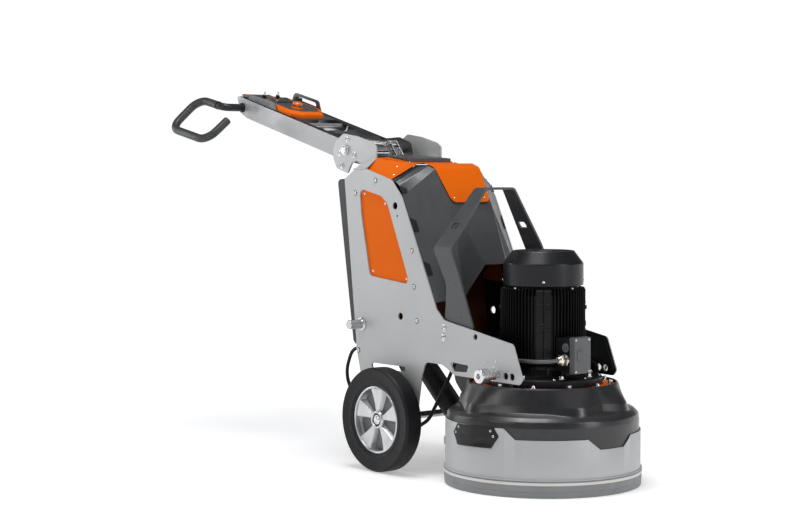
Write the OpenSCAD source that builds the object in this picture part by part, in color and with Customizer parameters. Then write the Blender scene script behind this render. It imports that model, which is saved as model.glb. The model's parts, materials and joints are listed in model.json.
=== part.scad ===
// Planetary concrete floor grinder, built as separate jointed sub-parts.
// Units are millimetres. X runs from the handlebar (-) to the grinding head (+),
// Y to the operator's left, Z up. The floor is z = 0 and the origin is the
// middle of the footprint's bounding box.

/* [Display] */
// Sub-part to build, or all of them

/* [Grinding head] */
// Outer diameter of the shroud at its lip
shroud_diameter = 670; // [560:5:760]
// Height of the rubber seal ring
seal_height = 57; // [30:1:80]
// Diameter of each grinding disc
disc_diameter = 236; // [180:2:250]
// Radius at which the disc centres sit
disc_pitch_radius = 172; // [150:1:180]
// Diameter of the rim at the top of the dome
dome_rim_diameter = 500; // [440:5:540]

/* [Motor] */
// Diameter of the fan cowl
cowl_diameter = 271; // [220:1:300]
// Top of the motor above the floor
motor_top = 786; // [700:1:860]
// Number of cooling fins
fin_count = 40; // [24:1:60]

/* [Chassis] */
// Width over the two side plates
chassis_width = 447; // [380:1:520]
// Thickness of the side plates
plate_thickness = 6; // [4:0.5:10]
// Wheel diameter
wheel_diameter = 366; // [300:2:420]
// Tyre width
tyre_width = 70; // [50:1:90]
// Axle diameter
axle_diameter = 25; // [20:1:30]

/* [Handle] */
// Rest angle of the handle above level
handle_angle = 15.06; // [5:0.01:30]
// Distance between the outer faces of the two arms
arm_spacing = 234; // [200:1:280]
// Depth of each arm channel
arm_depth = 72; // [50:1:90]
// Diameter of the handlebar tube
bar_diameter = 30; // [25:1:38]

/* [Fits] */
// Radial clearance of turning parts
running_gap = 0.05; // [0.01:0.01:0.1]

/* [Hidden] */
$fn = 64;
rear_reach = 1779.15;
front_reach = shroud_diameter / 2;
head_x = (rear_reach - front_reach) / 2;
yo = chassis_width / 2;
yi = yo - plate_thickness;
wheel_r = wheel_diameter / 2;
wheel_x = -516;
axle_r = axle_diameter / 2;
wheel_y = 285;
pin_x = 16;
pin_z = 382;
pin_r = 12.5;
pivot_x = -877;
pivot_z = 1126;
pivot_r = 11;
arm_y = arm_spacing / 2;
bar_r = bar_diameter / 2;
shell_r = shroud_diameter / 2 - 5;

c_plate = [0.74, 0.75, 0.76];
c_shell = [0.66, 0.67, 0.68];
c_seal = [0.5, 0.52, 0.53];
c_dark = [0.35, 0.36, 0.38];
c_dome = [0.24, 0.25, 0.27];
c_black = [0.1, 0.1, 0.11];
c_orange = [0.88, 0.4, 0.08];
c_zinc = [0.78, 0.78, 0.8];
c_alu = [0.7, 0.71, 0.73];

function unit(v) = v / norm(v);
function fillet(a, b, c, r, n) = r <= 0 ? [b] :
  let (u = unit(a - b), w = unit(c - b), h = acos(u * w) / 2,
       d = min(r / tan(h), 0.48 * norm(a - b), 0.48 * norm(c - b)),
       re = d * tan(h), m = b + unit(u + w) * (re / sin(h)),
       s = b + u * d - m, e = b + w * d - m, om = 180 - 2 * h)
  [for (i = [0:n]) m + (sin(om * (1 - i / n)) * s + sin(om * i / n) * e) / sin(om)];
function xy(p) = [p[0], p[1]];
function rounded(p, n = 4) = let (k = len(p)) [for (i = [0:k - 1])
  each fillet(xy(p[(i + k - 1) % k]), xy(p[i]), xy(p[(i + 1) % k]), p[i][2], n)];
function xyz(p) = [p[0], p[1], p[2]];
function bent(p, n = 5) = let (k = len(p)) [for (i = [0:k - 1])
  each (i == 0 || i == k - 1) ? [xyz(p[i])] : fillet(xyz(p[i - 1]), xyz(p[i]), xyz(p[i + 1]), p[i][3], n)];

module place() { translate([head_x, 0, 0]) children(); }
module mast() { translate([head_x + pivot_x, 0, pivot_z]) rotate([0, handle_angle, 0]) children(); }
module both() { children(); mirror([0, 1, 0]) children(); }
module side(s) { if (s < 0) children(); else mirror([0, 1, 0]) children(); }
module plate_y(p, y0, y1, n = 4) {
  translate([0, y1, 0]) rotate([90, 0, 0]) linear_extrude(y1 - y0) polygon(rounded(p, n));
}
module pin_y(x, z, r, y0, y1) { translate([x, y1, z]) rotate([90, 0, 0]) cylinder(r = r, h = y1 - y0); }
module pin_x(y, z, r, x0, x1) { translate([x0, y, z]) rotate([0, 90, 0]) cylinder(r = r, h = x1 - x0); }
module box(a, b) { translate(a) cube(b - a); }

// flat sheet facet: planar outline p pushed along d
module slab(p, d) {
  n = len(p);
  q = cross(p[1] - p[0], p[2] - p[0]) * d > 0 ? p : [for (i = [n - 1:-1:0]) p[i]];
  polyhedron(points = concat(q, [for (a = q) a + d]), faces = concat(
    [for (i = [1:n - 2]) [0, i, i + 1]],
    [for (i = [1:n - 2]) [n, n + i + 1, n + i]],
    [for (i = [0:n - 1]) [i, i + n, (i + 1) % n + n]],
    [for (i = [0:n - 1]) [i, (i + 1) % n + n, (i + 1) % n]]));
}

// round tube along a path of points
module sweep(path, r, n = 16, ref = [0, 0, 1]) {
  m = len(path);
  pts = [for (i = [0:m - 1]) let (
      t = i == 0 ? unit(path[1] - path[0]) : i == m - 1 ? unit(path[i] - path[i - 1]) :
          unit(unit(path[i + 1] - path[i]) + unit(path[i] - path[i - 1])),
      a = unit(cross(t, ref)), b = cross(a, t))
    for (k = [0:n - 1]) path[i] + r * (cos(360 * k / n) * a + sin(360 * k / n) * b)];
  polyhedron(points = pts, faces = concat(
    [for (k = [1:n - 2]) [0, k + 1, k]],
    [for (k = [1:n - 2]) [(m - 1) * n, (m - 1) * n + k, (m - 1) * n + k + 1]],
    [for (i = [0:m - 2], k = [0:n - 1]) [i * n + k, i * n + (k + 1) % n, (i + 1) * n + (k + 1) % n]],
    [for (i = [0:m - 2], k = [0:n - 1]) [i * n + k, (i + 1) * n + (k + 1) % n, (i + 1) * n + k]]));
}

// ---------------------------------------------------------------- chassis

plate_outline = [[-799, 1022, 10], [-749, 1052, 8], [-673, 1058, 14], [-534, 1020, 40],
  [-480, 964, 90], [-292, 578, 24], [-255, 545, 20], [89, 487, 18],
  [135, 374, 12], [119, 356, 10], [-197, 361, 20], [-262, 392, 40], [-349, 394, 22],
  [-372, 340, 40], [-391, 228, 30], [-470, 130, 40], [-565, 130, 40], [-690, 262, 40],
  [-731, 412, 10], [-732, 443, 10]];
window_outline = [[-713, 990, 20], [-590, 963, 20], [-556, 937, 30], [-443, 678, 14],
  [-451, 659, 10], [-655, 679, 20], [-702, 891, 20]];
panel_outline = [[-724, 1000, 20], [-588, 972, 20], [-549, 943, 30], [-432, 678, 14],
  [-446, 648, 10], [-663, 669, 20], [-712, 891, 20]];
bow_screws = [[-254, 519], [-257, 486]];
side_screws = [[-737, 972], [-622, 1018], [-423, 776], [-412, 651], [-396, 533], [-719, 407]];
rivets = [[-691, 970], [-574, 937], [-642, 696], [-457, 676]];

module side_plate(s) color(c_plate) place() side(s) difference() {
  plate_y(plate_outline, -yo, -yi);
  plate_y(window_outline, -yo - 1, -yi + 1);
  plate_y([[-643, 350, 8], [-643, 368, 8], [-457, 368, 8], [-457, 350, 8]], -yo - 1, -yi + 1);
  plate_y([[-224, 405, 5], [-127, 400, 5], [-138, 376, 5], [-201, 374, 5]], -yo - 1, -yi + 1);
  for (h = [[-484, 544, 13], [-94, 499, 10], [-514, 930, 13], [-501, 895, 4],
            [54.5, 380, 12], [85, 380, 12]])
    pin_y(h[0], h[1], h[2], -yo - 1, -yi + 1);
  pin_y(pin_x, pin_z, pin_r + running_gap, -yo - 1, -yi + 1);
  pin_y(wheel_x, wheel_r, axle_r, -yo - 1, -yi + 1);
}

module inner_plate(s) color(c_black) place() side(s) difference() {
  plate_y([[-470, 640, 10], [-322, 610, 10], [-298, 566, 16], [-258, 538, 16], [82, 480, 16],
    [127, 377, 12], [112, 363, 10], [-100, 366, 10], [-100, 415, 10],
    [-262, 420, 10], [-420, 410, 10], [-500, 460, 10]], -yi, -yi + 4);
  for (h = [[-484, 544, 16], [-94, 499, 8], [pin_x, pin_z, 16], [54.5, 380, 12], [85, 380, 12]])
    pin_y(h[0], h[1], h[2], -yi - 1, -yi + 5);
}

module window_panel(s) color(c_orange) place() side(s) plate_y(panel_outline, -yi, -yi + 2);

// folded cover: centre face, two chamfer facets, rounded top fold
module front_cover() color(c_dark) place() {
  d = [-2.5, 0, -1.4];
  slab([[-362, -94, 936], [-234, -50, 730], [-234, 50, 730], [-362, 94, 936]], d);
  slab([[-437, -106, 1058], [-362, -94, 936], [-362, 94, 936], [-437, 106, 1058]], d);
  both() {
    slab([[-362, -94, 936], [-478, -yi + 0.5, 964], [-388, -yi + 0.5, 775]], d);
    slab([[-362, -94, 936], [-388, -yi + 0.5, 775], [-302, -yi + 0.5, 602]], d);
    slab([[-362, -94, 936], [-302, -yi + 0.5, 602], [-262, -120, 620]], d);
    slab([[-362, -94, 936], [-262, -120, 620], [-234, -50, 730]], d);
    slab([[-437, -106, 1058], [-362, -94, 936], [-478, -yi + 0.5, 964]], d);
    slab([[-437, -106, 1058], [-478, -yi + 0.5, 964], [-500, -yi + 0.5, 1003]], d);
    slab([[-437, -106, 1058], [-500, -yi + 0.5, 1003], [-470, -108, 1071]], d);
    slab([[-470, -108, 1071], [-500, -yi + 0.5, 1003], [-526, -yi + 0.5, 1019]], d);
    slab([[-470, -108, 1071], [-526, -yi + 0.5, 1019], [-513, -112, 1068]], d);
  }
}

// orange hood: top, side slopes and the tongue folded down over the centre face
module top_cover() color(c_orange) place() {
  d = [0, 0, -2.5];
  slab([[-700, -150, 1098], [-552, -112, 1077], [-552, 112, 1077], [-700, 150, 1098]], d);
  slab([[-552, -112, 1077], [-478, -108, 1078], [-478, 108, 1078], [-552, 112, 1077]], d);
  slab([[-478, -108, 1078], [-437, -106, 1064], [-437, 106, 1064], [-478, 108, 1078]], d);
  t = [-1.5, 0, -1];
  slab([[-437, -106, 1064], [-376, -92, 968], [-376, 92, 968], [-437, 106, 1064]], t);
  slab([[-376, -92, 968], [-359.5, -70, 945], [-359.5, 70, 945], [-376, 92, 968]], t);
  both() {
    slab([[-700, -150, 1098], [-702, -yi + 1, 1052], [-552, -112, 1077]], d);
    slab([[-552, -112, 1077], [-702, -yi + 1, 1052], [-546, -yi + 1, 1019]], d);
    slab([[-552, -112, 1077], [-546, -yi + 1, 1019], [-519, -112, 1072.5]], d);
  }
}

module top_lid() color(c_dark) place() difference() {
  plate_y([[-790, 1090, 4], [-790, 1110, 4], [-586, 1096, 4], [-586, 1082.4, 1], [-700, 1098.6, 0]],
    -100, 100);
  plate_y([[-786, 1000, 0], [-786, 1106, 3], [-590, 1092, 3], [-590, 1060, 0]], -96, 96);
}

module bulkhead() color(c_orange) place() difference() {
  union() {
    slab([[-501, -yi + 4.5, 462], [-535, -yi + 4.5, 679], [-535, yi - 4.5, 679], [-501, yi - 4.5, 462]],
      [-3, 0, 0]);
    slab([[-535, -yi + 4.5, 679], [-505, -yi + 4.5, 700], [-505, yi - 4.5, 700], [-535, yi - 4.5, 679]],
      [0, 0, -3]);
  }
  for (y = [-60, 60]) pin_x(y, 560, 16, -560, -480);
}

module cabinet_floor() color(c_black) place() {
  box([-735, -yi, 446], [-498, yi, 452]);
  box([-330, -yi + 4, 425], [-290, yi - 4, 465]);
  box([-700, -yi, 420], [-660, yi, 446]);
  both() box([-498, -yi + 4, 440], [-330, -yi + 34, 448]);
  box([-520, -yi, 452], [-512, yi, 470]);
  hinge_pins();
}

module frequency_drive() color(c_dark) place() {
  box([-735, -120, 480], [-575, 120, 900]);
  for (i = [0:11]) box([-575, -110 + i * 19, 500], [-557, -106 + i * 19, 650]);
  box([-735, -140, 452], [-700, 140, 480]);
  box([-745, -70, 760], [-735, 70, 860]);
}

// clips that lap from the plate's edge over the cover
module edge_clips() color(c_black) place() both() {
  w = unit([116, 123, -28]) * 20;
  o = [4.4, 1.2, 1.4];
  for (c = [[[-501, 999], [-486, 972]], [[-446, 889], [-422, 839]], [[-374, 740], [-349, 690]]]) {
    p = [c[0][0], -yi, c[0][1]] + o;
    q = [c[1][0], -yi, c[1][1]] + o;
    m = unit(q - p) * 8;
    slab([p, q, q + w - m, p + w + m], [2, -1.7, 0.9]);
  }
}

// lifting bow: two plate legs, upper legs leaning inboard, short top bar
module lifting_bow() color(c_dark) place() {
  ang = atan2(149.5, 204);
  both() {
    plate_y([[-272, 470, 14], [-256, 597, 40], [-254, 668, 30], [-324, 786, 0], [-232, 786, 0],
      [-190, 700, 60], [-118, 530, 0], [-130, 476, 14]], -yi + 4, -yi + 12);
    difference() {
      translate([0, -yi + 4, 786]) rotate([-ang, 0, 0])
        plate_y([[-324, 0, 0], [-277, 252.5, 0], [-217, 252.5, 0], [-232, 0, 0]], 0, 8);
      translate([0, -yi + 4, 786]) rotate([-ang, 0, 0])
        plate_y([[-296, 76, 6], [-290, 106, 6], [-252, 106, 6], [-254, 76, 6]], -3, 12);
    }
  }
  box([-277, -64, 984], [-217, 64, 992]);
}

module wheel_axle() color(c_zinc) place() {
  pin_y(wheel_x, wheel_r, axle_r, -308, 308);
  both() {
    pin_y(wheel_x, wheel_r, 20, -250, -yo);
    pin_y(wheel_x, wheel_r, 8, -311, -308);
    pin_y(wheel_x, wheel_r, 18, -306, -303.2);
  }
}

module cable_posts() color(c_zinc) place() both() {
  pin_y(-699, 503, 16, -yo - 62, -yo);
  pin_y(-699, 503, 24, -yo - 5, -yo);
}

module screw(x, z, r, y) { pin_y(x, z, r, -y - 3.5, -y); pin_y(x, z, r * 0.6, -y - 4.4, -y - 3.4); }

module chassis_fasteners() color(c_zinc) place() both() {
  for (h = side_screws) screw(h[0], h[1], 7, yo);
  for (h = bow_screws) screw(h[0], h[1], 10, yo);
  for (h = [[-45, 418.7], [4.5, 421.9]]) screw(h[0], h[1], 5, yo);
  for (h = rivets) pin_y(h[0], h[1], 5, -yi - 2.5, -yi);
  for (h = [[-867, 1167], [-911, 1116], [-826, 1110], [-899, 1070]]) screw(h[0], h[1], 11, 157);
}

// brackets that carry the mast: plate, bent neck and foot in one folded sheet
module hinge_brackets() color(c_plate) place() both() difference() {
  union() {
    plate_y([[-891, 1187, 10], [-935, 1160, 20], [-952, 1127, 20], [-950, 1097, 20], [-931, 1061, 14],
      [-867, 1041, 8], [-840, 1079, 6], [-815, 1088, 6], [-786, 1076, 6], [-700, 1096, 8],
      [-700, 1140, 14], [-725, 1155, 20], [-814, 1177, 30]], -157, -151);
    slab([[-786, -157, 1078], [-700, -157, 1097], [-674, -yo, 1060.5], [-748, -yo, 1054.5]], [0, 6, 1]);
    plate_y([[-748, 1060, 2], [-706, 1063, 2], [-706, 1030, 4], [-756, 1030, 8]], -yi, -yi + 4);
    both_feet();
  }
  pin_y(pivot_x, pivot_z, pivot_r, -158, -150);
}
module both_feet() {
  slab([[-748, -yo, 1053.5], [-674, -yo, 1059.5], [-674, -yi, 1059.5], [-748, -yi, 1053.5]], [0, 0, 7]);
}

module handle_pivot() color(c_zinc) place() {
  pin_y(pivot_x, pivot_z, pivot_r, -160, 160);
  both() { pin_y(pivot_x, pivot_z, 19, -163, -157); pin_y(pivot_x, pivot_z, 15, -171, -163); }
  // lug in front of the pivot that holds the rod end of the spring
  both() plate_y([[-816, 1146, 10], [-800, 1168, 10], [-784, 1152, 10], [-750, 1108.2, 0],
    [-790, 1110.9, 0]], -18, -13);
  both() pin_y(pivot_x, pivot_z, 18, -151, -arm_y - 0.5);
  pin_y(-800, 1148, 6, -18, 18);
}

module dust_hose() color(c_black) place()
  sweep(bent([[-356, 0, 129, 0], [-381, 0, 134, 60], [-610, 0, 345, 120], [-705, 0, 352, 0]], 6), 41, 24);

module cable_loop() color(c_black) place() {
  sweep(bent([[-312, -100, 421.3, 0], [-372, -100, 320, 80], [-470, -104, 170, 80], [-600, -115, 95, 120],
    [-800, -135, 140, 140], [-892, -150, 300, 100], [-850, -146, 402, 50], [-722, -135, 405, 30],
    [-716, -130, 444.4, 0]], 6), 6.5, 10);
}

// ---------------------------------------------------------------- rear door

// hinge line of the door, on its left edge; two hinges at +-190 along it
module hinge(t) { translate([-781, 205, 725]) rotate([0, -6.21, 0]) translate([0, 0, t]) children(); }

module rear_door() color(c_dark) place() difference() {
  union() {
    difference() {
      plate_y([[-863, 1019, 16], [-828, 1022, 10], [-803, 1010, 10], [-738, 447, 6],
        [-752, 420, 10], [-772, 436, 14]], -205, 205);
      plate_y([[-858, 1014, 14], [-828, 1017, 8], [-790, 1012, 8], [-725, 447, 6],
        [-748, 425, 6], [-767, 440, 12]], -201, 201);
      for (t = [-190, 190], m = [-1, 1]) hinge(t + m * 17) box([-13.5, -8, -7.5], [7, 4, 7.5]);
    }
    for (t = [-190, 190]) hinge(t) translate([0, 0, -9]) cylinder(r = 4.5, h = 18);
  }
  for (t = [-190, 190]) hinge(t) translate([0, 0, -30]) cylinder(r = 2.5 + running_gap, h = 60);
}

// pins of the door hinges, on stand-offs from the left side plate
module hinge_pins() for (t = [-190, 190]) hinge(t) {
  translate([0, 0, -22]) cylinder(r = 2.5, h = 44);
  for (m = [-1, 1]) translate([0, 0, m * 16.5 - 5.5]) {
    cylinder(r = 4.5, h = 11);
    box([-3, 2, 0], [3, yi - 205, 11]);
  }
}

module door_latch() color(c_black) place() {
  both() translate([-816.3, -150, 720]) rotate([0, -8.87, 0]) box([-14, -18, -34], [-0.3, 18, 34]);
}

// ---------------------------------------------------------------- wheels

module tyre(s) color(c_black) place() translate([wheel_x, s * wheel_y, wheel_r]) rotate([90, 0, 0])
  rotate_extrude() polygon(rounded([[118, -26, 2], [150, -31, 10], [wheel_r - 10, -tyre_width / 2, 6],
    [wheel_r, -tyre_width / 2 + 9, 6],
    [wheel_r, tyre_width / 2 - 9, 6], [wheel_r - 10, tyre_width / 2, 6], [150, 31, 10], [118, 26, 2]]));

module rim(s) color(c_alu) place() translate([wheel_x, s * wheel_y, wheel_r]) rotate([90, 0, 0])
  difference() {
    union() {
      rotate_extrude() polygon([[108, -24], [118, -24], [118, 24], [108, 24]]);
      cylinder(r = 30, h = 44, center = true);
      cylinder(r = 110, h = 8, center = true);
      for (a = [0:72:359]) rotate([0, 0, a + 90]) linear_extrude(36, center = true)
        polygon([[20, -14], [112, -26], [112, 26], [20, 14]]);
    }
    cylinder(r = axle_r + running_gap, h = 80, center = true);
    for (m = [-1, 1]) translate([0, 0, m * 21]) cylinder(r = 22, h = 8, center = true);
  }

// ---------------------------------------------------------------- handle (built level, then tilted)

module handle_arm(s) color(c_plate) mast() side(s) difference() {
  plate_y([[-781, 19, 8], [-738, -42, 14], [-690, -52, 10], [-40, -52, 14], [52, -40, 20], [62, 0, 20],
    [40, 40, 20], [-30, 44, 16], [-104, 20, 10]], -arm_y, -arm_y + 28);
  plate_y([[-900, 15, 0], [-900, -47, 0], [-100, -47, 4], [-100, 15, 4]], -arm_y + 4, -arm_y + 40);
  plate_y([[-110, 200, 0], [-110, -200, 0], [200, -200, 0], [200, 200, 0]], -arm_y + 6, -arm_y + 40);
  pin_y(0, 0, pivot_r + running_gap, -arm_y - 2, -arm_y + 40);
  pin_y(-729, -19, bar_r - 2.9, -arm_y - 2, -arm_y + 10);
}

module handle_tubes() color(c_alu) mast() {
  pin_y(-352, 1.2, 13.5, -arm_y + 4, arm_y - 4);
  pin_y(-600, -20, 14, -arm_y + 4, arm_y - 4);
  both() plate_y([[-362, 16, 6], [-416, -32, 10], [-410, -52, 10], [-388, -52, 8], [-340, -6, 8]], -26, -21);
  pin_y(-400, -38, 6, -26, 26);
}

bar_path = bent([[-729, 0, -19, 0], [-729, 205, -19, 34], [-776, 206.6, -21.4, 0]], 6);
grip_path = bent([[-776.5, 206.6, -21.4, 0], [-898, 210, -27, 52], [-884, 334, -144, 52],
  [-634, 334, -131, 52], [-640, 242, -48, 0]], 5);

module handlebar() color(c_black) mast() both() sweep(bar_path, bar_r - 3, 16, [1, 0.3, 0.2]);
module handle_grips() color([0.18, 0.19, 0.2]) mast() both() sweep(grip_path, bar_r + 1, 18, [1, 0.3, 0.2]);

eye_x = pivot_x - 400 * cos(handle_angle) - 38 * sin(handle_angle);
eye_z = pivot_z + 400 * sin(handle_angle) - 38 * cos(handle_angle);
module strut() place() translate([eye_x, 0, eye_z]) rotate([0, 5.457, 0]) children();

module spring_cylinder() color(c_black) strut() difference() {
  union() {
    pin_x(0, 0, 13, 14, 200);
    rotate([90, 0, 0]) cylinder(r = 13, h = 22, center = true);
    box([0, -9, -10], [20, 9, 10]);
    pin_x(0, 0, 11, 200, 214);
  }
  rotate([90, 0, 0]) cylinder(r = 6 + running_gap, h = 60, center = true);
  pin_x(0, 0, 6.2 + running_gap, 60, 230);
}

module spring_rod() color(c_zinc) strut() difference() {
  union() {
    pin_x(0, 0, 6.2, 100, 470);
    pin_x(0, 0, 9, 432, 464);
    translate([475.3, 0, 0]) rotate([90, 0, 0]) cylinder(r = 15, h = 20, center = true);
  }
  translate([475.3, 0, 0]) rotate([90, 0, 0]) cylinder(r = 9, h = 60, center = true);
}

// ---------------------------------------------------------------- control panel (level, on the mast)

module panel_deck() color(c_dark) mast() difference() {
  union() {
    plate_y([[-776, 20, 4], [-776, 14, 2], [-400, 14, 2], [-400, 20, 4]], -arm_y + 28.5, arm_y - 28.5);
    plate_y([[-560, 14, 0], [-552, -38, 10], [-480, -40, 10], [-470, 14, 0]], -70, 70);
    plate_y([[-776, 20, 2], [-776, 26, 4], [-640, 26, 4], [-640, 20, 2]], -96, 30);
  }
  plate_y([[-548, 16, 0], [-544, -33, 8], [-486, -35, 8], [-478, 16, 0]], -66, 66);
}

module panel_housing() color(c_orange) mast() difference() {
  union() {
    plate_y([[-630, 20, 0], [-628, 36, 8], [-420, 36, 8], [-402, 24, 4], [-402, 20, 0]], -104, 70);
    plate_y([[-560, 36, 0], [-552, 50, 6], [-440, 44, 6], [-430, 36, 0]], -84, 40);
    difference() {
      plate_y([[-640, 20, 0], [-628, 62, 16], [-520, 62, 16], [-420, 20, 0]], 88, 94);
      plate_y([[-600, 36, 6], [-596, 50, 6], [-530, 50, 6], [-520, 36, 6]], 80, 100);
    }
  }
  translate([-481, -40, 30]) cylinder(r = 10.3, h = 40);
  translate([-540, 10, 42]) cylinder(r = 9.3, h = 40);
}

module panel_display() color(c_black) mast() {
  box([-616, -70, 36], [-570, 10, 40]);
  plate_y([[-740, 26, 0], [-738, 30, 2], [-700, 30, 2], [-698, 26, 0]], -80, -20);
}

module estop_button() color(c_orange) mast() translate([-481, -40, 0]) {
  translate([0, 0, 38]) cylinder(r = 10, h = 18);
  translate([0, 0, 54]) rotate_extrude() polygon(rounded([[0, 0, 0], [20, 0, 3], [20, 9, 5], [0, 12, 0]]));
}

module speed_knob() color(c_black) mast() translate([-590, 45, 0]) difference() {
  rotate_extrude() polygon(rounded([[0, 36.4, 0], [17, 36.4, 1], [17, 43, 0], [15, 58, 4], [0, 58, 0]]));
  box([-1, 4, 56], [1, 20, 60]);
}

module toggle(y) color(c_alu) mast() translate([-675, y, 26.4]) {
  translate([0, 0, 4.5]) cylinder(r = 3, h = 24);
  translate([0, 0, 4.5]) sphere(r = 4);
  pin_y(0, 4.5, 1.5, -5.5, 5.5);
  translate([0, 0, 26]) cylinder(r1 = 3.5, r2 = 5, h = 8);
}

module start_button() color([0.2, 0.55, 0.3]) mast() translate([-540, 10, 0]) {
  translate([0, 0, 46]) cylinder(r = 9, h = 8.5);
}

// ---------------------------------------------------------------- head

module base_plate() color(c_orange) place() {
  rotate_extrude() polygon([[120, 330], [242, 330], [242, 338], [120, 338]]);
  // drum of the planetary drive, under the plate
  difference() {
    rotate_extrude() polygon([[60, 150], [200, 150], [212, 170], [212, 330], [60, 330]]);
    rotate_extrude() polygon([[78, 168], [192, 168], [194, 174], [194, 318], [78, 318]]);
  }
  // ears that take the pivot pins
  both() difference() {
    plate_y([[-30, 338, 0], [-24, 396, 16], [10, 408, 20], [50, 396, 16], [70, 338, 0]], -211, -201);
    pin_y(pin_x, pin_z, pin_r + running_gap, -214, -190);
  }
}

module dome_cover() color(c_dome) place() difference() {
  union() {
    rotate_extrude() polygon([[321, 75], [325, 75], [325, 226], [319, 246], [302, 262], [284, 276],
      [252, 343], [250, 346], [244, 346], [248, 338], [279, 273], [299, 257], [315, 242], [321, 224]]);
    // dust port at the rear
    pin_x(0, 128, 44, -338, -318);
  }
  pin_x(0, 128, 41.5, -380, -300);
}

module motor_flange() color(c_black) place() {
  rotate_extrude() polygon([[60, 338], [200, 338], [200, 367], [60, 367]]);
  rotate_extrude() polygon([[60, 367], [134, 367], [122, 400], [122, 404], [60, 404]]);
}

module motor_body() color(c_black) place() {
  rotate_extrude() polygon([[0, 404], [128, 404], [130, 430], [130, 640], [120, 671],
    [14 + running_gap, 671], [14 + running_gap, 600], [0, 600]]);
  for (i = [0:fin_count - 1]) rotate([0, 0, 360 * i / fin_count])
    translate([0, -1.5, 0]) rotate([90, 0, 0]) translate([0, 0, -3])
      linear_extrude(3) polygon([[110, 410], [143, 416], [143, 648], [124, 662], [110, 662]]);
}

module fan_cowl() color(c_black) place() difference() {
  rotate_extrude() polygon([[132, 671], [cowl_diameter / 2, 671], [cowl_diameter / 2, 745],
    [104, motor_top], [0, motor_top], [0, motor_top - 3], [103, motor_top - 3], [132.5, 744], [132.5, 671]]);
  for (i = [0:19]) rotate([0, 0, i * 18]) {
    box([34, -3, motor_top - 6], [62, 3, motor_top + 1]);
    box([68, -4, motor_top - 6], [96, 4, motor_top + 1]);
  }
}

module terminal_box() color(c_black) place() {
  box([143.6, -74, 396], [206, -8, 504]);
  box([206, -79, 390], [214, -3, 510]);
  box([214, -79, 390], [230, -3, 510]);
  pin_y(188, 478, 13, -80, -74);
}

module motor_cable() color(c_dark) place() {
  color(c_zinc) {
    pin_y(188, 435, 12, -92, -74);
    pin_y(188, 435, 15, -84, -76);
    pin_y(188, 435, 9, -104, -92);
  }
  sweep(bent([[188, -102, 435, 0], [188, -170, 434, 55], [60, -178, 436, 60], [-120, -176, 425, 60],
    [-230, -150, 428, 50], [-276, -120, 436, 0]], 6), 6.5, 12);
}

module head_fasteners() color(c_zinc) place() {
  for (a = [0:30:359]) rotate([0, 0, a + 8]) translate([225, 0, 338]) {
    cylinder(r = 9, h = 3);
    cylinder(r = 6.5, h = 8);
  }
  for (a = [0:45:359]) rotate([0, 0, a + 22]) translate([168, 0, 367]) {
    cylinder(r = 12, h = 3);
    cylinder(r = 9, h = 11);
  }
  for (y = [-72, -10], z = [398, 502]) pin_x(y, z, 4.5, 230, 233);
}

module cooling_fan() color(c_dark) place() {
  translate([0, 0, 690]) cylinder(r = 30, h = 60);
  translate([0, 0, 610]) cylinder(r = 14, h = 81);
  translate([0, 0, 690]) cylinder(r = 90, h = 4);
  for (a = [0:45:359]) rotate([0, 0, a]) box([28, -2, 694], [100, 2, 745]);
}

module planet_carrier() color(c_zinc) place() {
  translate([0, 0, 100]) cylinder(r = 285, h = 12);
  translate([0, 0, 112]) cylinder(r = 50, h = 37);
  translate([0, 0, 112]) cylinder(r = 30, h = 140);
  for (a = [60, 180, 300]) rotate([0, 0, a]) translate([disc_pitch_radius, 0, 70]) difference() {
    cylinder(r = 30, h = 30);
    translate([0, 0, -1]) cylinder(r = 12 + running_gap, h = 31);
  }
}

module grinding_disc(k) color(c_dark) place() rotate([0, 0, 60 + 120 * (k - 1)])
  translate([disc_pitch_radius, 0, 0]) {
    translate([0, 0, 22]) cylinder(r = disc_diameter / 2, h = 14);
    translate([0, 0, 36]) cylinder(r = 70, h = 33);
    translate([0, 0, 69]) cylinder(r = 12, h = 30);
    for (a = [0:60:359]) rotate([0, 0, a]) {
      translate([88, 0, 0]) cylinder(r = 14, h = 22);
      translate([60, 30, 6]) cylinder(r = 9, h = 16);
    }
  }

// ---------------------------------------------------------------- skirt

module skirt_shell() color(c_shell) place() difference() {
  union() {
    rotate_extrude() polygon([[shell_r - 3, 55], [shell_r, 55], [shell_r, 222], [shell_r - 3, 222]]);
    rotate_extrude() polygon([[shell_r - 3, 55], [shell_r + 5, 55], [shell_r + 5, 58], [shell_r - 3, 60]]);
    both() rotate([0, 0, -130]) box([shell_r - 1, -9, 128], [shell_r + 4, 9, 156]);
  }
  plate_y([[166, 187, 0], [130, 230, 0], [420, 230, 0], [420, 187, 0]], -400, 400);
  rotate([0, 0, 90]) plate_y([[-102, 200, 0], [102, 200, 0], [102, 187, 0], [60, 152, 0],
    [-60, 152, 0], [-102, 187, 0]], -400, -100);
  box([-400, -50, 61], [-250, 50, 240]);
  both() rotate([0, 0, -130]) box([shell_r - 10, -6, 96], [shell_r + 10, 6, 116]);
}

module skirt_seal() color(c_seal) place()
  rotate_extrude() polygon([[shell_r - 4, 0], [shell_r + 2, 0], [shell_r + 3.5, 20], [shell_r + 4, 38],
    [shell_r + 5, 40], [shell_r + 5, 51], [shell_r + 4, 55], [shell_r - 3, 55], [shell_r - 4, 40]]);

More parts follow.
